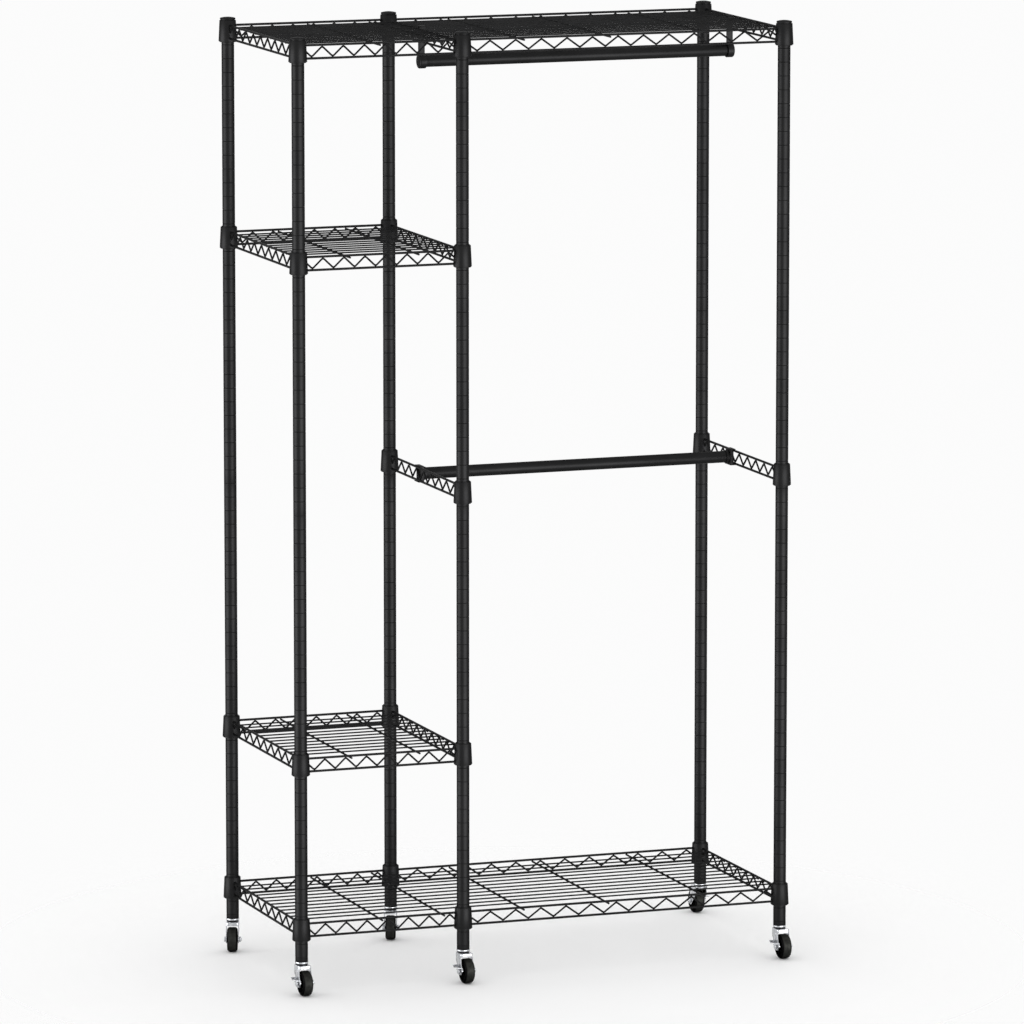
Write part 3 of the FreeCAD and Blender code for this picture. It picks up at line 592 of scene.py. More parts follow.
# The posts' powder coat painted darker for the wires, as painted shade
def shaded_wire_coat(context):
    finishes = context.scene.wardrobe.finishes
    return speckled("shaded_black_wire_coat", finishes.wire, finishes.shaded_wire_pale, patch_scale=14, grain_scale=1400,
                    grain_depth=COAT_GRAIN, roughness=(0.40, 0.52), metallic=1, tint=0.6)


def plastic(context):
    finishes = context.scene.wardrobe.finishes
    return speckled("moulded_black_plastic", finishes.plastic, finishes.plastic_pale, patch_scale=60,
                    grain_scale=2600, grain_depth=PLASTIC_GRAIN, roughness=(0.40, 0.55), metallic=1,
                    tint=0.5)


def plate(context):
    finishes = context.scene.wardrobe.finishes
    return speckled("bright_plate", finishes.plate_dull, finishes.plate, patch_scale=220, grain_scale=1800,
                    grain_depth=PLATE_GRAIN, roughness=(0.14, 0.26), metallic=1)


def steel(context):
    finishes = context.scene.wardrobe.finishes
    return speckled("plain_steel", finishes.steel_dark, finishes.steel, patch_scale=90, grain_scale=1500,
                    grain_depth=STEEL_GRAIN, roughness=(0.35, 0.5), metallic=1)


def wheel_side(context):
    finishes = context.scene.wardrobe.finishes
    return speckled("wheel_side", finishes.wheel, finishes.wheel_pale, patch_scale=120, grain_scale=2200,
                    grain_depth=WHEEL_GRAIN, roughness=(0.36, 0.5), metallic=1, tint=0.45)


# Tread finish painted lighter than the wheel's side, as painted sheen
def lit_wheel_tread(context):
    finishes = context.scene.wardrobe.finishes
    return speckled("lit_wheel_tread", finishes.tread, finishes.lit_tread_pale, patch_scale=160, grain_scale=2400,
                    grain_depth=TREAD_GRAIN, roughness=(0.42, 0.55), metallic=1, tint=0.45)


# Posts and caps

def post_outline(sizes, radius, low, high, foot):
    """Section of a tube's wall, with a V at each groove that is clear of its ends."""
    bore = radius - sizes.wall
    lowest = low + sizes.groove_width
    highest = high - sizes.groove_width
    outline = [(bore, low), (radius, low)]
    number = math.ceil((lowest - foot - sizes.first_groove) / sizes.groove_pitch)
    height = foot + sizes.first_groove + number * sizes.groove_pitch
    while height < highest:
        outline.append((radius, height - sizes.groove_width / 2))
        outline.append((radius - sizes.groove_depth, height))
        outline.append((radius, height + sizes.groove_width / 2))
        height += sizes.groove_pitch
    outline += [(radius, high), (bore, high)]
    return outline


class WARDROBE_OT_posts(Operator):
    """Grooved tubes, two lengths to a post"""

    bl_idname = "wardrobe.posts"
    bl_label = "Posts"

    def execute(self, context):
        sizes = context.scene.wardrobe.posts
        for place in PLACES:
            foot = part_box(f"post_{place}_lower")[0].z
            for half in ("lower", "upper"):
                node = f"post_{place}_{half}"
                low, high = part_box(node)
                outline = post_outline(sizes, half_width(node), low.z, high.z, foot)
                bm = bmesh.new()
                add_turned(bm, outline, sizes.facets, Matrix.Translation(post_axis(place)))
                ends = edges_where(bm, lambda at: meets(at.z, low.z) or meets(at.z, high.z))
                rounded(bm, sharp(ends), sizes.end_round)
                finish_piece(bm, "coated", node, "frame", "black_coated_steel", coat(context))
        return {"FINISHED"}


class WARDROBE_OT_caps(Operator):
    """Moulded caps with a low dome on the posts' heads"""

    bl_idname = "wardrobe.caps"
    bl_label = "Caps"

    def execute(self, context):
        sizes = context.scene.wardrobe.posts
        low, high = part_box("post_caps")
        radius = post_axis("front_left").x - low.x
        plug = half_width("post_front_left_upper") - sizes.wall
        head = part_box("post_front_left_upper")[1].z
        rim = head + sizes.cap_rim
        dome = high.z - rim
        dome_radius = (radius ** 2 + dome ** 2) / (2 * dome)
        lean = math.asin(radius / dome_radius)
        outline = [(0, head - sizes.cap_plug), (plug, head - sizes.cap_plug), (plug, head), (radius, head)]
        for ring in range(sizes.cap_rings + 1):
            angle = lean * (1 - ring / sizes.cap_rings)
            outline.append((dome_radius * math.sin(angle), high.z - dome_radius * (1 - math.cos(angle))))
        bm = bmesh.new()
        for place in PLACES:
            add_turned(bm, outline, sizes.facets, Matrix.Translation(post_axis(place)), closed=False,
                       radius=sizes.cap_round)
        finish_piece(bm, "moulded", "post_caps", "frame", "black_plastic", plastic(context))
        return {"FINISHED"}


# Shelves, rails and sleeves

def add_collar(bm, sizes, place, height):
    low = height - sizes.height / 2
    high = low + sizes.height
    foot = sizes.foot_diameter / 2
    top = sizes.top_diameter / 2
    outline = [(foot - sizes.wall, low), (foot, low), (top, high), (top - sizes.wall, high)]
    shape = turned(outline, sizes.facets, radius=sizes.edge_round)
    for face in shape.faces:
        face.material_index = COLLAR_FINISH
    join(bm, shape, Matrix.Translation(place))


def collar_reach(collars):
    """Radius of a collar at half its height."""
    mean_diameter = (collars.top_diameter + collars.foot_diameter) / 2
    return mean_diameter / 2


def collar_slope(collars):
    """How much a collar's radius grows with each metre down."""
    return (collars.foot_diameter - collars.top_diameter) / 2 / collars.height


def clear_span(collars, span):
    """Length of a truss between the collars at its ends."""
    return span - 2 * collar_reach(collars)


def zigzag_waves(wires, collars, span):
    """Whole waves of the bent wire that come nearest to the wanted pitch."""
    pitch = wires.long_zigzag_pitch if span > wires.long_span else wires.zigzag_pitch
    return max(1, round(clear_span(collars, span) / pitch))


def zigzag_wave(wires, collars, span):
    """Length of one wave."""
    return clear_span(collars, span) / zigzag_waves(wires, collars, span)


def zigzag_feet(wires, collars, span):
    """Distances along a truss at which its bent wire stands on the lower wire."""
    wave = zigzag_wave(wires, collars, span)
    waves = zigzag_waves(wires, collars, span)
    return [collar_reach(collars) + (index + wires.zigzag_foot_share) * wave for index in range(waves)]


def ring_geometry(ring):
    """A ring's edges and their ends."""
    return ring + list(dict.fromkeys(vert for edge in ring for vert in edge.verts))


def last_ring(made):
    return [item for item in made["geom_last"] if isinstance(item, bmesh.types.BMEdge)]


def swept_on(shape, ring, move):
    """Carry a ring of edges along a straight run."""
    return last_ring(bmesh.ops.spin(shape, geom=ring_geometry(ring), cent=(0, 0, 0), axis=Y_AXIS, dvec=move,
                                    angle=0, steps=1))


def swept_round(shape, ring, centre, angle, steps):
    """Carry a ring of edges round a bend."""
    return last_ring(bmesh.ops.spin(shape, geom=ring_geometry(ring), cent=centre, axis=Y_AXIS, angle=angle,
                                    steps=steps))


def add_zigzag(bm, wires, collars, span, low, high, matrix):
    """One bent wire along X, whose bends touch the lower and upper wires in turn, and its welds."""
    shape = bmesh.new()
    bend = wires.zigzag_bend
    rise = high - low - wires.edge - wires.zigzag
    run = zigzag_wave(wires, collars, span) / 2
    # Each straight run is tangent to the bends at both of its ends
    over = rise - 2 * bend
    slope = math.asin(2 * bend / math.hypot(run, over)) + math.atan2(over, run)
    straight = (run - 2 * bend * math.sin(slope)) / math.cos(slope)
    level_z = (low + high) / 2
    down = Vector((math.cos(slope), 0, -math.sin(slope)))
    up = Vector((math.cos(slope), 0, math.sin(slope)))
    inside = collars.wall / 2 / math.cos(slope)
    start = Vector((collar_reach(collars), 0, level_z)) - down * inside
    lean = down.to_track_quat("Z", "Y").to_matrix().to_4x4()
    made = bmesh.ops.create_circle(shape, cap_ends=True, radius=wires.zigzag / 2,
                                   segments=wires.zigzag_facets, matrix=Matrix.Translation(start) @ lean)
    ring = list(dict.fromkeys(edge for vert in made["verts"] for edge in vert.link_edges))
    ring = swept_on(shape, ring, down * (straight / 2 + inside))
    feet = zigzag_feet(wires, collars, span)
    for foot in feet:
        low_centre = Vector((foot, 0, level_z - rise / 2 + bend))
        high_centre = Vector((foot + run, 0, level_z + rise / 2 - bend))
        fall = straight / 2 + inside if foot == feet[-1] else straight
        ring = swept_round(shape, ring, low_centre, -2 * slope, wires.bend_steps)
        ring = swept_on(shape, ring, up * straight)
        ring = swept_round(shape, ring, high_centre, 2 * slope, wires.bend_steps)
        ring = swept_on(shape, ring, down * fall)
        add_bead(shape, Vector((foot, 0, low + wires.edge / 2)), wires.weld)
        add_bead(shape, Vector((foot + run, 0, high - wires.edge / 2)), wires.weld)
    bmesh.ops.contextual_create(shape, geom=ring)
    join(bm, shape, matrix)


def add_truss(bm, wires, collars, start, end, low, high):
    """Two straight wires and the bent one between them, from one collar to the next."""
    run = end - start
    heading = Matrix.Rotation(math.atan2(run.y, run.x), 4, "Z")
    matrix = Matrix.Translation(start) @ heading
    span = run.length
    for height in (low, high):
        rise = height - (low + high) / 2
        reach = collar_reach(collars) - collar_slope(collars) * rise - collars.wall / 2
        near = matrix @ Vector((reach, 0, height))
        far = matrix @ Vector((span - reach, 0, height))
        add_wire(bm, near, far, wires.edge, wires.facets)
    add_zigzag(bm, wires, collars, span, low, high, matrix)


def cross_places(wires, collars, columns, shares):
    """Cross wires, each at its share of the shelf's width or as near as the zigzag leaves room."""
    feet = []
    for left, right in zip(columns, columns[1:]):
        feet += [left + foot for foot in zigzag_feet(wires, collars, right - left)]
    width = columns[-1] - columns[0]
    places = []
    for target_share in shares:
        target = columns[0] + target_share * width
        foot = min(feet, key=lambda place: abs(place - target))
        places.append(min(max(target, foot - wires.cross_slack), foot + wires.cross_slack))
    return places


def add_deck(bm, wires, collars, columns, front, back, upper):
    """Deck wires, the cross wires beneath them and the welds where they meet."""
    floor = upper - wires.edge / 2
    pitch = (back - front - 2 * wires.deck_edge) / (wires.deck_count - 1)
    left = columns[0] + wires.edge / 2
    right = columns[-1] - wires.edge / 2
    shares = WIDE_CROSS_SHARES if len(columns) == len(FRONT_PLACES) else SIDE_CROSS_SHARES
    crossings = cross_places(wires, collars, columns, shares)
    near = front - wires.edge / 2
    far = back + wires.edge / 2
    for x in crossings:
        height = floor - wires.cross / 2
        add_wire(bm, Vector((x, near, height)), Vector((x, far, height)), wires.cross, wires.facets)
    for index in range(wires.deck_count):
        y = front + wires.deck_edge + index * pitch
        height = floor + wires.deck / 2
        add_wire(bm, Vector((left, y, height)), Vector((right, y, height)), wires.deck, wires.deck_facets)
        for x in crossings + [left, right]:
            add_bead(bm, Vector((x, y, floor)), wires.weld)


class WARDROBE_OT_shelves(Operator):
    """Welded wire shelves and side rails with their collars"""

    bl_idname = "wardrobe.shelves"
    bl_label = "Shelves and rails"

    def execute(self, context):
        wires = context.scene.wardrobe.wires
        collars = context.scene.wardrobe.collars
        front = post_axis("front_left").y
        back = post_axis("back_left").y
        for node in SHELVES + RAILS:
            columns = columns_of(node)
            height = collar_middle(node)
            low = height - collars.height / 2 + wires.truss_foot
            high = low + wires.truss_height
            bm = bmesh.new()
            for x in columns:
                for y in (front, back):
                    add_collar(bm, collars, Vector((x, y, 0)), height)
            for x in sorted({columns[0], columns[-1]}):
                add_truss(bm, wires, collars, Vector((x, front, 0)), Vector((x, back, 0)), low, high)
            if node in SHELVES:
                for y in (front, back):
                    for left, right in zip(columns, columns[1:]):
                        add_truss(bm, wires, collars, Vector((left, y, 0)), Vector((right, y, 0)), low, high)
                add_deck(bm, wires, collars, columns, front, back, high)
            if node == "top_shelf":
                start = Vector((columns[1], front, 0))
                end = Vector((columns[1], back, 0))
                under_deck = high - wires.edge
                add_truss(bm, wires, collars, start, end, low, under_deck)
            # The wires take the darker coat as painted shade, and the collars keep the posts' coat
            finish_piece(bm, "coated", node, "frame", "black_coated_steel", shaded_wire_coat(context),
                         coat(context))
        return {"FINISHED"}


class WARDROBE_OT_sleeves(Operator):
    """Split sleeves that wedge the collars onto the posts"""

    bl_idname = "wardrobe.sleeves"
    bl_label = "Sleeves"

    def execute(self, context):
        sizes = context.scene.wardrobe.collars
        post = half_width("post_front_left_lower")
        inside = post + sizes.fit
        flare = collar_slope(sizes) * sizes.sleeve_proud
        foot = sizes.foot_diameter / 2 - sizes.wall - sizes.fit + flare
        top = sizes.top_diameter / 2 - sizes.wall - sizes.fit - flare
        gap = sizes.sleeve_gap / post
        for node in sorted(set(SLEEVES.values())):
            low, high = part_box(node)
            outline = [(inside, low.z), (foot, low.z), (top, high.z), (inside, high.z)]
            bm = bmesh.new()
            for place in PLACES:
                axis = post_axis(place)
                if not low.x < axis.x < high.x:
                    continue
                for heading in (gap / 2, gap / 2 + HALF_TURN):
                    matrix = Matrix.Translation(axis) @ Matrix.Rotation(heading, 4, "Z")
                    add_part_turned(bm, outline, sizes.facets // 2, HALF_TURN - gap, matrix)
            finish_piece(bm, "moulded", node, "frame", "black_plastic", plastic(context))
        return {"FINISHED"}


# Rods, hangers and holders

class WARDROBE_OT_rods(Operator):
    """Hanging rods of coated tube"""

    bl_idname = "wardrobe.rods"
    bl_label = "Rods"

    def execute(self, context):
        sizes = context.scene.wardrobe.rods
        for node in ("upper_rod", "lower_rod"):
            low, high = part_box(node)
            radius = half_height(node)
            bore = radius - sizes.wall
            run = high.x - low.x
            outline = [(bore, 0), (radius, 0), (radius, run), (bore, run)]
            centre = middle(node)
            matrix = Matrix.Translation((low.x, centre.y, centre.z)) @ ALONG_X
            bm = bmesh.new()
            add_turned(bm, outline, sizes.facets, matrix, radius=sizes.end_round)
            finish_piece(bm, "coated", node, "frame", "black_coated_steel", coat(context))
        return {"FINISHED"}


class WARDROBE_OT_hangers(Operator):
    """Cups on straps that hook the upper rod to the top shelf"""

    bl_idname = "wardrobe.hangers"
    bl_label = "Hangers"

    def execute(self, context):
        sizes = context.scene.wardrobe.rods
        wires = context.scene.wardrobe.wires
        rod = middle("upper_rod")
        bore = half_height("upper_rod") + sizes.clearance
        cup = bore + sizes.hanger_sheet
        for side in ROD_ENDS:
            node = f"upper_rod_hanger_{side}"
            low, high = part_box(node)
            width = high.x - low.x
            far = rod.y - sizes.hanger_sheet / 2
            near = far - wires.deck
            wire_top = high.z - sizes.hanger_sheet
            lip = high.z - sizes.hanger_lip
            strap = [
                (far, rod.z + bore),
                (far, wire_top),
                (near, wire_top),
                (near, lip),
                (near - sizes.hanger_sheet, lip),
                (near - sizes.hanger_sheet, high.z),
                (far + sizes.hanger_sheet, high.z),
                (far + sizes.hanger_sheet, rod.z + bore),
            ]
            matrix = rod_end_matrix(node, side)
            bm = bmesh.new()
            add_extruded(bm, [(0, y, z) for y, z in strap], X_AXIS * width, matrix, sizes.strap_round)
            outline = [
                (0, 0),
                (cup, 0),
                (cup, width),
                (bore, width),
                (bore, sizes.hanger_sheet),
                (0, sizes.hanger_sheet),
            ]
            shape = turned(outline, sizes.facets, closed=False)
            rim = sharp(edges_where(shape, lambda at: meets(at.z, 0)))
            rounded(shape, rim, sizes.hanger_round, CUP_STEPS)
            join(bm, shape, matrix @ Matrix.Translation((0, rod.y, rod.z)) @ ALONG_X)
            finish_piece(bm, "coated", node, "frame", "black_coated_steel", coat(context))
        return {"FINISHED"}


def add_screw(bm, sizes, matrix):
    """Round screw head under a cup."""
    radius = sizes.screw / 2
    outline = [(0, -sizes.holder_wall), (radius, -sizes.holder_wall), (radius, sizes.holder_wall)]
    add_turned(bm, outline, sizes.screw_facets, matrix, closed=False, radius=sizes.screw_round)


class WARDROBE_OT_holders(Operator):
    """Moulded blocks that hold the lower rod between the side rails"""

    bl_idname = "wardrobe.holders"
    bl_label = "Holders"

    def execute(self, context):
        sizes = context.scene.wardrobe.rods
        wires = context.scene.wardrobe.wires
        rod = middle("lower_rod")
        bore = half_height("lower_rod") + sizes.clearance
        outside = bore + sizes.holder_wall
        block = wires.edge + sizes.holder_block
        cup_start = block - sizes.holder_wall
        for side in ROD_ENDS:
            node = f"lower_rod_holder_{side}"
            low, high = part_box(node)
            depth = high.x - low.x
            inner_low = low.z + sizes.holder_lip
            inner_high = high.z - sizes.holder_lip
            section = [
                (0, low.z),
                (block, low.z),
                (block, high.z),
                (0, high.z),
                (0, inner_high),
                (wires.edge, inner_high),
                (wires.edge, inner_low),
                (0, inner_low),
            ]
            corners = [(x, low.y, z) for x, z in section]
            matrix = rod_end_matrix(node, side)
            bm = bmesh.new()
            add_extruded(bm, corners, Y_AXIS * (high.y - low.y), matrix, sizes.holder_round)
            outline = [(bore, cup_start), (outside, cup_start), (outside, depth), (bore, depth)]
            cup_matrix = matrix @ Matrix.Translation((0, rod.y, rod.z)) @ ALONG_X
            add_turned(bm, outline, sizes.facets, cup_matrix, radius=sizes.cup_round)
            screw_place = Vector(((block + depth) / 2, rod.y, rod.z - outside))
            add_screw(bm, sizes, matrix @ Matrix.Translation(screw_place))
            finish_piece(bm, "moulded", node, "frame", "black_plastic", plastic(context))
        return {"FINISHED"}


# Casters, made about the Z axis with the wheel towards -Y

class WARDROBE_OT_stems(Operator):
    """Bright stems with a flange, and the dark rings beneath them"""

    bl_idname = "wardrobe.stems"
    bl_label = "Stems and races"

    def execute(self, context):
        sizes = context.scene.wardrobe.casters
        facets = context.scene.wardrobe.posts.facets
        low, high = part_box("caster_stems")
        race_low, race_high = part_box("caster_races")
        stem = sizes.stem_diameter / 2
        flange = sizes.flange_diameter / 2
        rivet = sizes.rivet_diameter / 2
        foot = race_high.z + sizes.flange_height
        outline = [
            (0, low.z),
            (rivet, low.z),
            (rivet, low.z + sizes.rivet_height),
            (stem, low.z + sizes.rivet_height),
            (stem, race_high.z),
            (flange, race_high.z),
            (flange, foot),
            (stem, foot),
            (stem, high.z),
            (0, high.z),
        ]
        bm = bmesh.new()
        for place in PLACES:
            add_turned(bm, outline, facets, Matrix.Translation(post_axis(place)), closed=False,
                       radius=sizes.small_round)
        finish_piece(bm, "plated", "caster_stems", "frame", "bright_plated_steel", plate(context))
        ring = sizes.race_diameter / 2
        waist = (race_low.z + race_high.z) / 2
        outline = [
            (stem, race_low.z),
            (ring, race_low.z),
            (ring - sizes.race_lip, waist),
            (ring, race_high.z),
            (stem, race_high.z),
        ]
        bm = bmesh.new()
        for place in PLACES:
            add_turned(bm, outline, facets, Matrix.Translation(post_axis(place)))
        finish_piece(bm, "moulded", "caster_races", "frame", "black_plastic", plastic(context))
        return {"FINISHED"}


def add_hood(bm, sizes, low, high):
    """Crown with a skirt round its front and sides, pressed from one sheet."""
    shape = bmesh.new()
    spread = Matrix.Diagonal((2 * sizes.half_width, sizes.front + sizes.back, high - low, 1))
    centre = Vector((0, (sizes.back - sizes.front) / 2, (low + high) / 2))
    bmesh.ops.create_cube(shape, size=1, matrix=Matrix.Translation(centre) @ spread)
    shape.normal_update()
    gone = [face for face in shape.faces if round(face.normal.z) < 0 or round(face.normal.y) > 0]
    bmesh.ops.delete(shape, geom=gone, context="FACES")
    corners = [edge for edge in shape.edges if edge.is_manifold
               and abs(edge.verts[0].co.z - edge.verts[1].co.z) > sizes.sheet]
    rounded(shape, corners, sizes.corner, WIDE_STEPS)
    brim = [edge for edge in edges_where(shape, lambda at: meets(at.z, high)) if edge.is_manifold]
    rounded(shape, brim, sizes.press_round, PRESSED_STEPS)
    bmesh.ops.solidify(shape, geom=shape.faces, thickness=sizes.sheet)
    join(bm, shape, UNMOVED)


def add_crown(bm, sizes, low, high, facets):
    """Round plate of the crown, with the kingpin's hole."""
    bore = sizes.stem_diameter / 2
    rim = sizes.half_width - sizes.sheet_inset
    lowest = low + sizes.sheet_inset
    highest = high - sizes.sheet_inset
    outline = [(bore, lowest), (rim, lowest), (rim, highest), (bore, highest)]
    add_turned(bm, outline, facets, UNMOVED, radius=sizes.small_round)


def add_side_plate(bm, sizes, axle, high, facets, side):
    """Plate on one side of the wheel, from the hood down to the axle."""
    outer = side * (sizes.half_width - sizes.sheet_inset)
    inner = side * (sizes.half_width - sizes.sheet + sizes.sheet_inset)
    top = high - sizes.press_round
    points = []
    for face in (outer, inner):
        points.append(Vector((face, sizes.corner - sizes.front, top)))
        points.append(Vector((face, sizes.back, top)))
        points.append(Vector((face, sizes.back, high - sizes.back_edge)))
        points += ring_points(axle + Vector((face, 0, 0)), sizes.eye, facets)
    add_hull(bm, points, sizes.small_round)


def add_rib(bm, sizes, high, side):
    """Rib pressed into a side plate, below the hood's skirt."""
    low = high - sizes.rib_height
    half = sizes.rib_width / 2
    near = side * (sizes.half_width - sizes.sheet / 2)
    far = side * (sizes.half_width + sizes.rib_proud)
    corner = Vector((near, -sizes.rib_place - half, low))
    opposite = Vector((far, -sizes.rib_place + half, high))
    add_block(bm, corner, opposite, UNMOVED, sizes.rib_proud, PRESSED_STEPS)


class WARDROBE_OT_forks(Operator):
    """Pressed forks of bright plated steel"""

    bl_idname = "wardrobe.forks"
    bl_label = "Forks"

    def execute(self, context):
        sizes = context.scene.wardrobe.casters
        facets = context.scene.wardrobe.posts.facets
        axle = axle_place()
        for place in PLACES:
            node = f"caster_fork_{place}"
            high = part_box(node)[1].z
            crown = high - sizes.sheet
            skirt = crown - sizes.skirt
            bm = bmesh.new()
            add_hood(bm, sizes, skirt, high)
            add_crown(bm, sizes, crown, high, facets)
            for side in BOTH_SIDES:
                add_side_plate(bm, sizes, axle, high, facets, side)
                add_rib(bm, sizes, skirt, side)
            bmesh.ops.transform(bm, matrix=caster_matrix(place), verts=bm.verts)
            finish_piece(bm, "plated", node, f"caster_{place}", "bright_plated_steel", plate(context))
        return {"FINISHED"}


def add_tyre(bm, sizes, radius):
    """Wheel without its ribs, about the Z axis: hub, dished sides, rim and tread with a mould line."""
    half = sizes.wheel_width / 2
    bore = sizes.axle_diameter / 2
    hub = sizes.hub_diameter / 2
    web = half - sizes.wheel_recess
    rim = radius - sizes.wheel_rim
    line = sizes.wheel_line / 2
    side = [
        (bore, half + sizes.hub_proud),
        (hub, half + sizes.hub_proud),
        (hub, web),
        (rim, web),
        (rim, half),
        (radius, half),
    ]
    tread = [(radius, line), (radius - line, 0), (radius, -line)]
    outline = side + tread + [(reach, -height) for reach, height in reversed(side)]
    shape = turned(outline, sizes.wheel_facets)
    shoulders = edges_where(
        shape, lambda at: meets(math.hypot(at.x, at.y), radius) and meets(abs(at.z), half))
    rounded(shape, shoulders, sizes.wheel_shoulder, WIDE_STEPS)
    join(bm, shape, UNMOVED)


def add_spokes(bm, sizes, radius):
    """Ribs in a wheel's two dished sides, sunk a little into its hub, rim and web."""
    half = sizes.wheel_width / 2
    overlap = sizes.wheel_line / 2
    start = sizes.hub_diameter / 2 - overlap
    end = radius - sizes.wheel_rim + overlap
    beside = sizes.spoke_width / 2
    low = half - 2 * sizes.wheel_recess
    high = half - sizes.wheel_recess * SPOKE_SINK_SHARE
    for index in range(sizes.spokes):
        spread = Matrix.Rotation(FULL_TURN * index / sizes.spokes, 4, "Z")
        for side in BOTH_SIDES:
            near = Vector((start, -beside, side * low))
            far = Vector((end, beside, side * high))
            add_block(bm, near, far, spread, sizes.small_round)


class WARDROBE_OT_wheels(Operator):
    """Moulded wheels with dished, ribbed sides and a tread painted lighter, as painted sheen"""

    bl_idname = "wardrobe.wheels"
    bl_label = "Wheels"

    def execute(self, context):
        sizes = context.scene.wardrobe.casters
        axle = axle_place()
        radius = axle.z
        lay = Matrix.Translation(axle) @ ALONG_X
        for place in PLACES:
            node = f"caster_wheel_{place}"
            bm = bmesh.new()
            add_tyre(bm, sizes, radius)
            add_spokes(bm, sizes, radius)
            # Faces at the rim take the lighter tread finish, which is painted sheen
            for face in bm.faces:
                reach = max(math.hypot(vert.co.x, vert.co.y) for vert in face.verts)
                if reach > radius - sizes.lit_tread_edge:
                    face.material_index = LIT_TREAD_FINISH
            bmesh.ops.transform(bm, matrix=caster_matrix(place) @ lay, verts=bm.verts)
            finish_piece(bm, "moulded", node, f"wheel_{place}", "black_wheel", wheel_side(context),
                         lit_wheel_tread(context))
        return {"FINISHED"}


def add_hex(bm, sizes, low, high, matrix):
    """Six-sided head or nut along Z with its corners eased."""
    shape = bmesh.new()
    corner = sizes.hex_width / 2 / math.cos(math.pi / HEX_SIDES)
    centre = Matrix.Translation((0, 0, (low + high) / 2))
    bmesh.ops.create_cone(shape, cap_ends=True, segments=HEX_SIDES, radius1=corner, radius2=corner,
                          depth=high - low, matrix=centre @ ABOUT_Z)
    rounded(shape, sharp(shape.edges), sizes.small_round)
    join(bm, shape, matrix)


class WARDROBE_OT_axles(Operator):
    """Axle bolts and nuts"""

    bl_idname = "wardrobe.axles"
    bl_label = "Axles"

    def execute(self, context):
        sizes = context.scene.wardrobe.casters
        lay = Matrix.Translation(axle_place()) @ ALONG_X
        radius = sizes.axle_diameter / 2
        nut = sizes.half_width
        end = nut + sizes.nut_height + sizes.axle_end
        for place in PLACES:
            node = f"caster_axle_{place}"
            head = -sizes.half_width
            if place in BRAKED_PLACES:
                head -= sizes.lever_gap + sizes.lever_sheet
            start = head - sizes.small_round
            matrix = caster_matrix(place) @ lay
            bm = bmesh.new()
            add_hex(bm, sizes, head - sizes.head_height, head, matrix)
            add_hex(bm, sizes, nut, nut + sizes.nut_height, matrix)
            outline = [(0, start), (radius, start), (radius, end), (0, end)]
            add_turned(bm, outline, sizes.axle_facets, matrix, closed=False, radius=sizes.small_round)
            finish_piece(bm, "plated", node, f"caster_{place}", "bright_plated_steel", plate(context))
        return {"FINISHED"}


class WARDROBE_OT_levers(Operator):
    """Brake levers with two rising arms and a pedal on each"""

    bl_idname = "wardrobe.levers"
    bl_label = "Brake levers"

    def execute(self, context):
        sizes = context.scene.wardrobe.casters
        inside = -sizes.half_width - sizes.lever_gap
        outside = inside - sizes.lever_sheet
        half = sizes.lever_arm / 2
        bore = sizes.axle_diameter / 2
        eye = sizes.lever_eye / 2
        outline = [(bore, outside), (eye, outside), (eye, inside), (bore, inside)]
        tilt = Matrix.Translation(axle_place()) @ Matrix.Rotation(sizes.lever_tilt, 4, "X")
        for place in BRAKED_PLACES:
            node = f"brake_lever_{place}"
            bm = bmesh.new()
            add_turned(bm, outline, sizes.lever_facets, tilt @ ALONG_X, radius=sizes.small_round)
            for side in BOTH_SIDES:
                rise = tilt @ Matrix.Rotation(side * sizes.lever_rise, 4, "X")
                reach = side * sizes.lever_reach
                arm_foot = Vector((outside, side * bore, -half))
                arm_end = Vector((inside, reach, half))
                add_block(bm, arm_foot, arm_end, rise, sizes.small_round)
                bent = reach - side * sizes.lever_ear_length
                pedal_foot = Vector((outside - sizes.lever_ear, bent, half - sizes.lever_sheet))
                add_block(bm, pedal_foot, arm_end, rise, sizes.small_round)
            bmesh.ops.transform(bm, matrix=caster_matrix(place), verts=bm.verts)
            finish_piece(bm, "plated", node, f"brake_{place}", "bright_plated_steel", plate(context))
        return {"FINISHED"}


class WARDROBE_OT_hidden_pieces(Operator):
    """Finishes of the plugs inside the posts, which keep their own shapes"""

    bl_idname = "wardrobe.hidden_pieces"
    bl_label = "Plugs inside the posts"

    def execute(self, context):
        for node, material in (("post_connectors", steel(context)), ("post_inserts", plastic(context))):
            mesh = frame["nodes"][node].data
            mesh.materials.clear()
            mesh.materials.append(material)
        return {"FINISHED"}


# Stage

def faded_floor(settings):
    """Pale floor that fades out round the rack, so that only its shadow shows."""
    material = speckled("pale_floor", settings.floor, settings.floor_pale, patch_scale=0.8, grain_scale=300,
                        grain_depth=FLOOR_GRAIN, roughness=(0.7, 0.8), specular=0.1)
    nodes = material.node_tree.nodes
    links = material.node_tree.links
    place = nodes.new("ShaderNodeTexCoord")
    reach = nodes.new("ShaderNodeVectorMath")
    reach.operation = "LENGTH"
    links.new(place.outputs["Object"], reach.inputs[0])
    fade = nodes.new("ShaderNodeMapRange")
    fade.interpolation_type = "SMOOTHSTEP"
    fade.inputs["From Min"].default_value = settings.floor_solid
    fade.inputs["From Max"].default_value = settings.floor_size
    links.new(reach.outputs["Value"], fade.inputs["Value"])
    mix = nodes.new("ShaderNodeMixShader")
    links.new(fade.outputs["Result"], mix.inputs["Fac"])
    links.new(nodes["Principled BSDF"].outputs["BSDF"], mix.inputs[1])
    links.new(nodes.new("ShaderNodeBsdfTransparent").outputs["BSDF"], mix.inputs[2])
    links.new(mix.outputs["Shader"], nodes["Material Output"].inputs["Surface"])
    return material


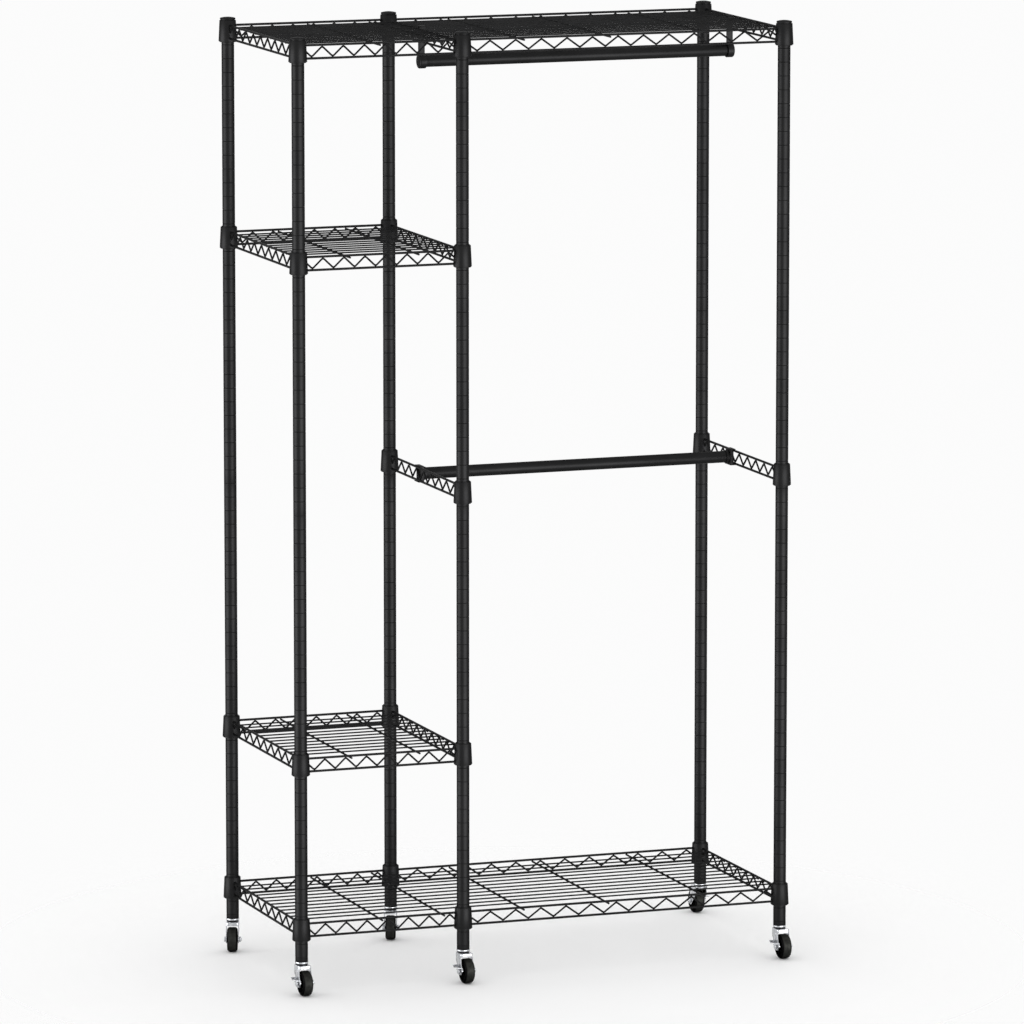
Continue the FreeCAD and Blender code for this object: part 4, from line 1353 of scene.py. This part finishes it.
def add_floor(scene, settings):
    bm = bmesh.new()
    bmesh.ops.create_grid(bm, x_segments=1, y_segments=1, size=settings.floor_size)
    mesh = bpy.data.meshes.new("pale_floor")
    bm.to_mesh(mesh)
    bm.free()
    floor = bpy.data.objects.new("pale_floor", mesh)
    scene.collection.objects.link(floor)
    mesh.materials.append(faded_floor(settings))


def add_world(scene, settings):
    """White all round, and a little stronger from above."""
    world = bpy.data.worlds.new("soft_studio")
    world.use_nodes = True
    nodes = world.node_tree.nodes
    links = world.node_tree.links
    background = nodes["Background"]
    background.inputs["Color"].default_value = settings.sky
    direction = nodes.new("ShaderNodeTexCoord")
    height = nodes.new("ShaderNodeSeparateXYZ")
    links.new(direction.outputs["Generated"], height.inputs["Vector"])
    rise = nodes.new("ShaderNodeMapRange")
    rise.inputs["From Max"].default_value = settings.sky_rise
    rise.inputs["To Min"].default_value = settings.horizon_level
    rise.inputs["To Max"].default_value = settings.sky_level
    links.new(height.outputs["Z"], rise.inputs["Value"])
    links.new(rise.outputs["Result"], background.inputs["Strength"])
    scene.world = world


def add_lamp(scene, name, settings, stand):
    """Upright soft panel that faces the rack, and shows only in what shines."""
    lamp = bpy.data.lights.new(name, "AREA")
    lamp.shape = "RECTANGLE"
    lamp.size = settings.lamp_width
    lamp.size_y = settings.lamp_height
    lamp.energy = settings.lamp_power
    holder = bpy.data.objects.new(name, lamp)
    scene.collection.objects.link(holder)
    holder.location = stand
    aim = Vector((-stand[0], -stand[1], 0))
    holder.rotation_euler = aim.to_track_quat("-Z", "Y").to_euler()
    holder.visible_camera = False
    holder.visible_diffuse = False


def add_camera(scene, settings):
    lens = bpy.data.cameras.new("picture_camera")
    lens.lens = settings.lens
    camera = bpy.data.objects.new("picture_camera", lens)
    scene.collection.objects.link(camera)
    camera.location = settings.camera_place
    camera.rotation_euler = (QUARTER_TURN - settings.camera_drop, 0, -settings.camera_azimuth)
    scene.camera = camera


class WARDROBE_OT_stage(Operator):
    """Pale floor, soft light and a camera at the picture's angle"""

    bl_idname = "wardrobe.stage"
    bl_label = "Stage"

    def execute(self, context):
        scene = context.scene
        settings = scene.wardrobe.stage
        scene.view_settings.view_transform = "Standard"
        add_floor(scene, settings)
        add_world(scene, settings)
        add_lamp(scene, "left_lamp", settings, settings.left_place)
        add_lamp(scene, "right_lamp", settings, settings.right_place)
        add_camera(scene, settings)
        return {"FINISHED"}


class WARDROBE_PT_sidebar(Panel):
    """Settings and steps of the wardrobe"""

    bl_label = "Open Frame Wardrobe"
    bl_idname = "WARDROBE_PT_sidebar"
    bl_space_type = "VIEW_3D"
    bl_region_type = "UI"
    bl_category = "Wardrobe"

    def draw(self, context):
        settings = context.scene.wardrobe
        for name in WardrobeSettings.__annotations__:
            group = getattr(settings, name)
            box = self.layout.box()
            box.label(text=name.capitalize())
            for prop in type(group).__annotations__:
                box.prop(group, prop)
        for operator in OPERATORS:
            self.layout.operator(operator.bl_idname)


GROUPS = (
    PostSizes,
    CollarSizes,
    WireSizes,
    RodSizes,
    CasterSizes,
    Finishes,
    StageSettings,
    WardrobeSettings,
)
OPERATORS = (
    WARDROBE_OT_posts,
    WARDROBE_OT_caps,
    WARDROBE_OT_shelves,
    WARDROBE_OT_sleeves,
    WARDROBE_OT_rods,
    WARDROBE_OT_hangers,
    WARDROBE_OT_holders,
    WARDROBE_OT_stems,
    WARDROBE_OT_forks,
    WARDROBE_OT_wheels,
    WARDROBE_OT_axles,
    WARDROBE_OT_levers,
    WARDROBE_OT_hidden_pieces,
    WARDROBE_OT_stage,
)
CLASSES = GROUPS + OPERATORS + (WARDROBE_PT_sidebar,)


def register():
    for entry in CLASSES:
        bpy.utils.register_class(entry)
    bpy.types.Scene.wardrobe = PointerProperty(type=WardrobeSettings)


def unregister():
    del bpy.types.Scene.wardrobe
    for entry in reversed(CLASSES):
        bpy.utils.unregister_class(entry)


def main():
    register()
    bpy.ops.wardrobe.posts()
    bpy.ops.wardrobe.caps()
    bpy.ops.wardrobe.shelves()
    bpy.ops.wardrobe.sleeves()
    bpy.ops.wardrobe.rods()
    bpy.ops.wardrobe.hangers()
    bpy.ops.wardrobe.holders()
    bpy.ops.wardrobe.stems()
    bpy.ops.wardrobe.forks()
    bpy.ops.wardrobe.wheels()
    bpy.ops.wardrobe.axles()
    bpy.ops.wardrobe.levers()
    bpy.ops.wardrobe.hidden_pieces()
    bpy.ops.wardrobe.stage()


if __name__ == "__main__":
    main()
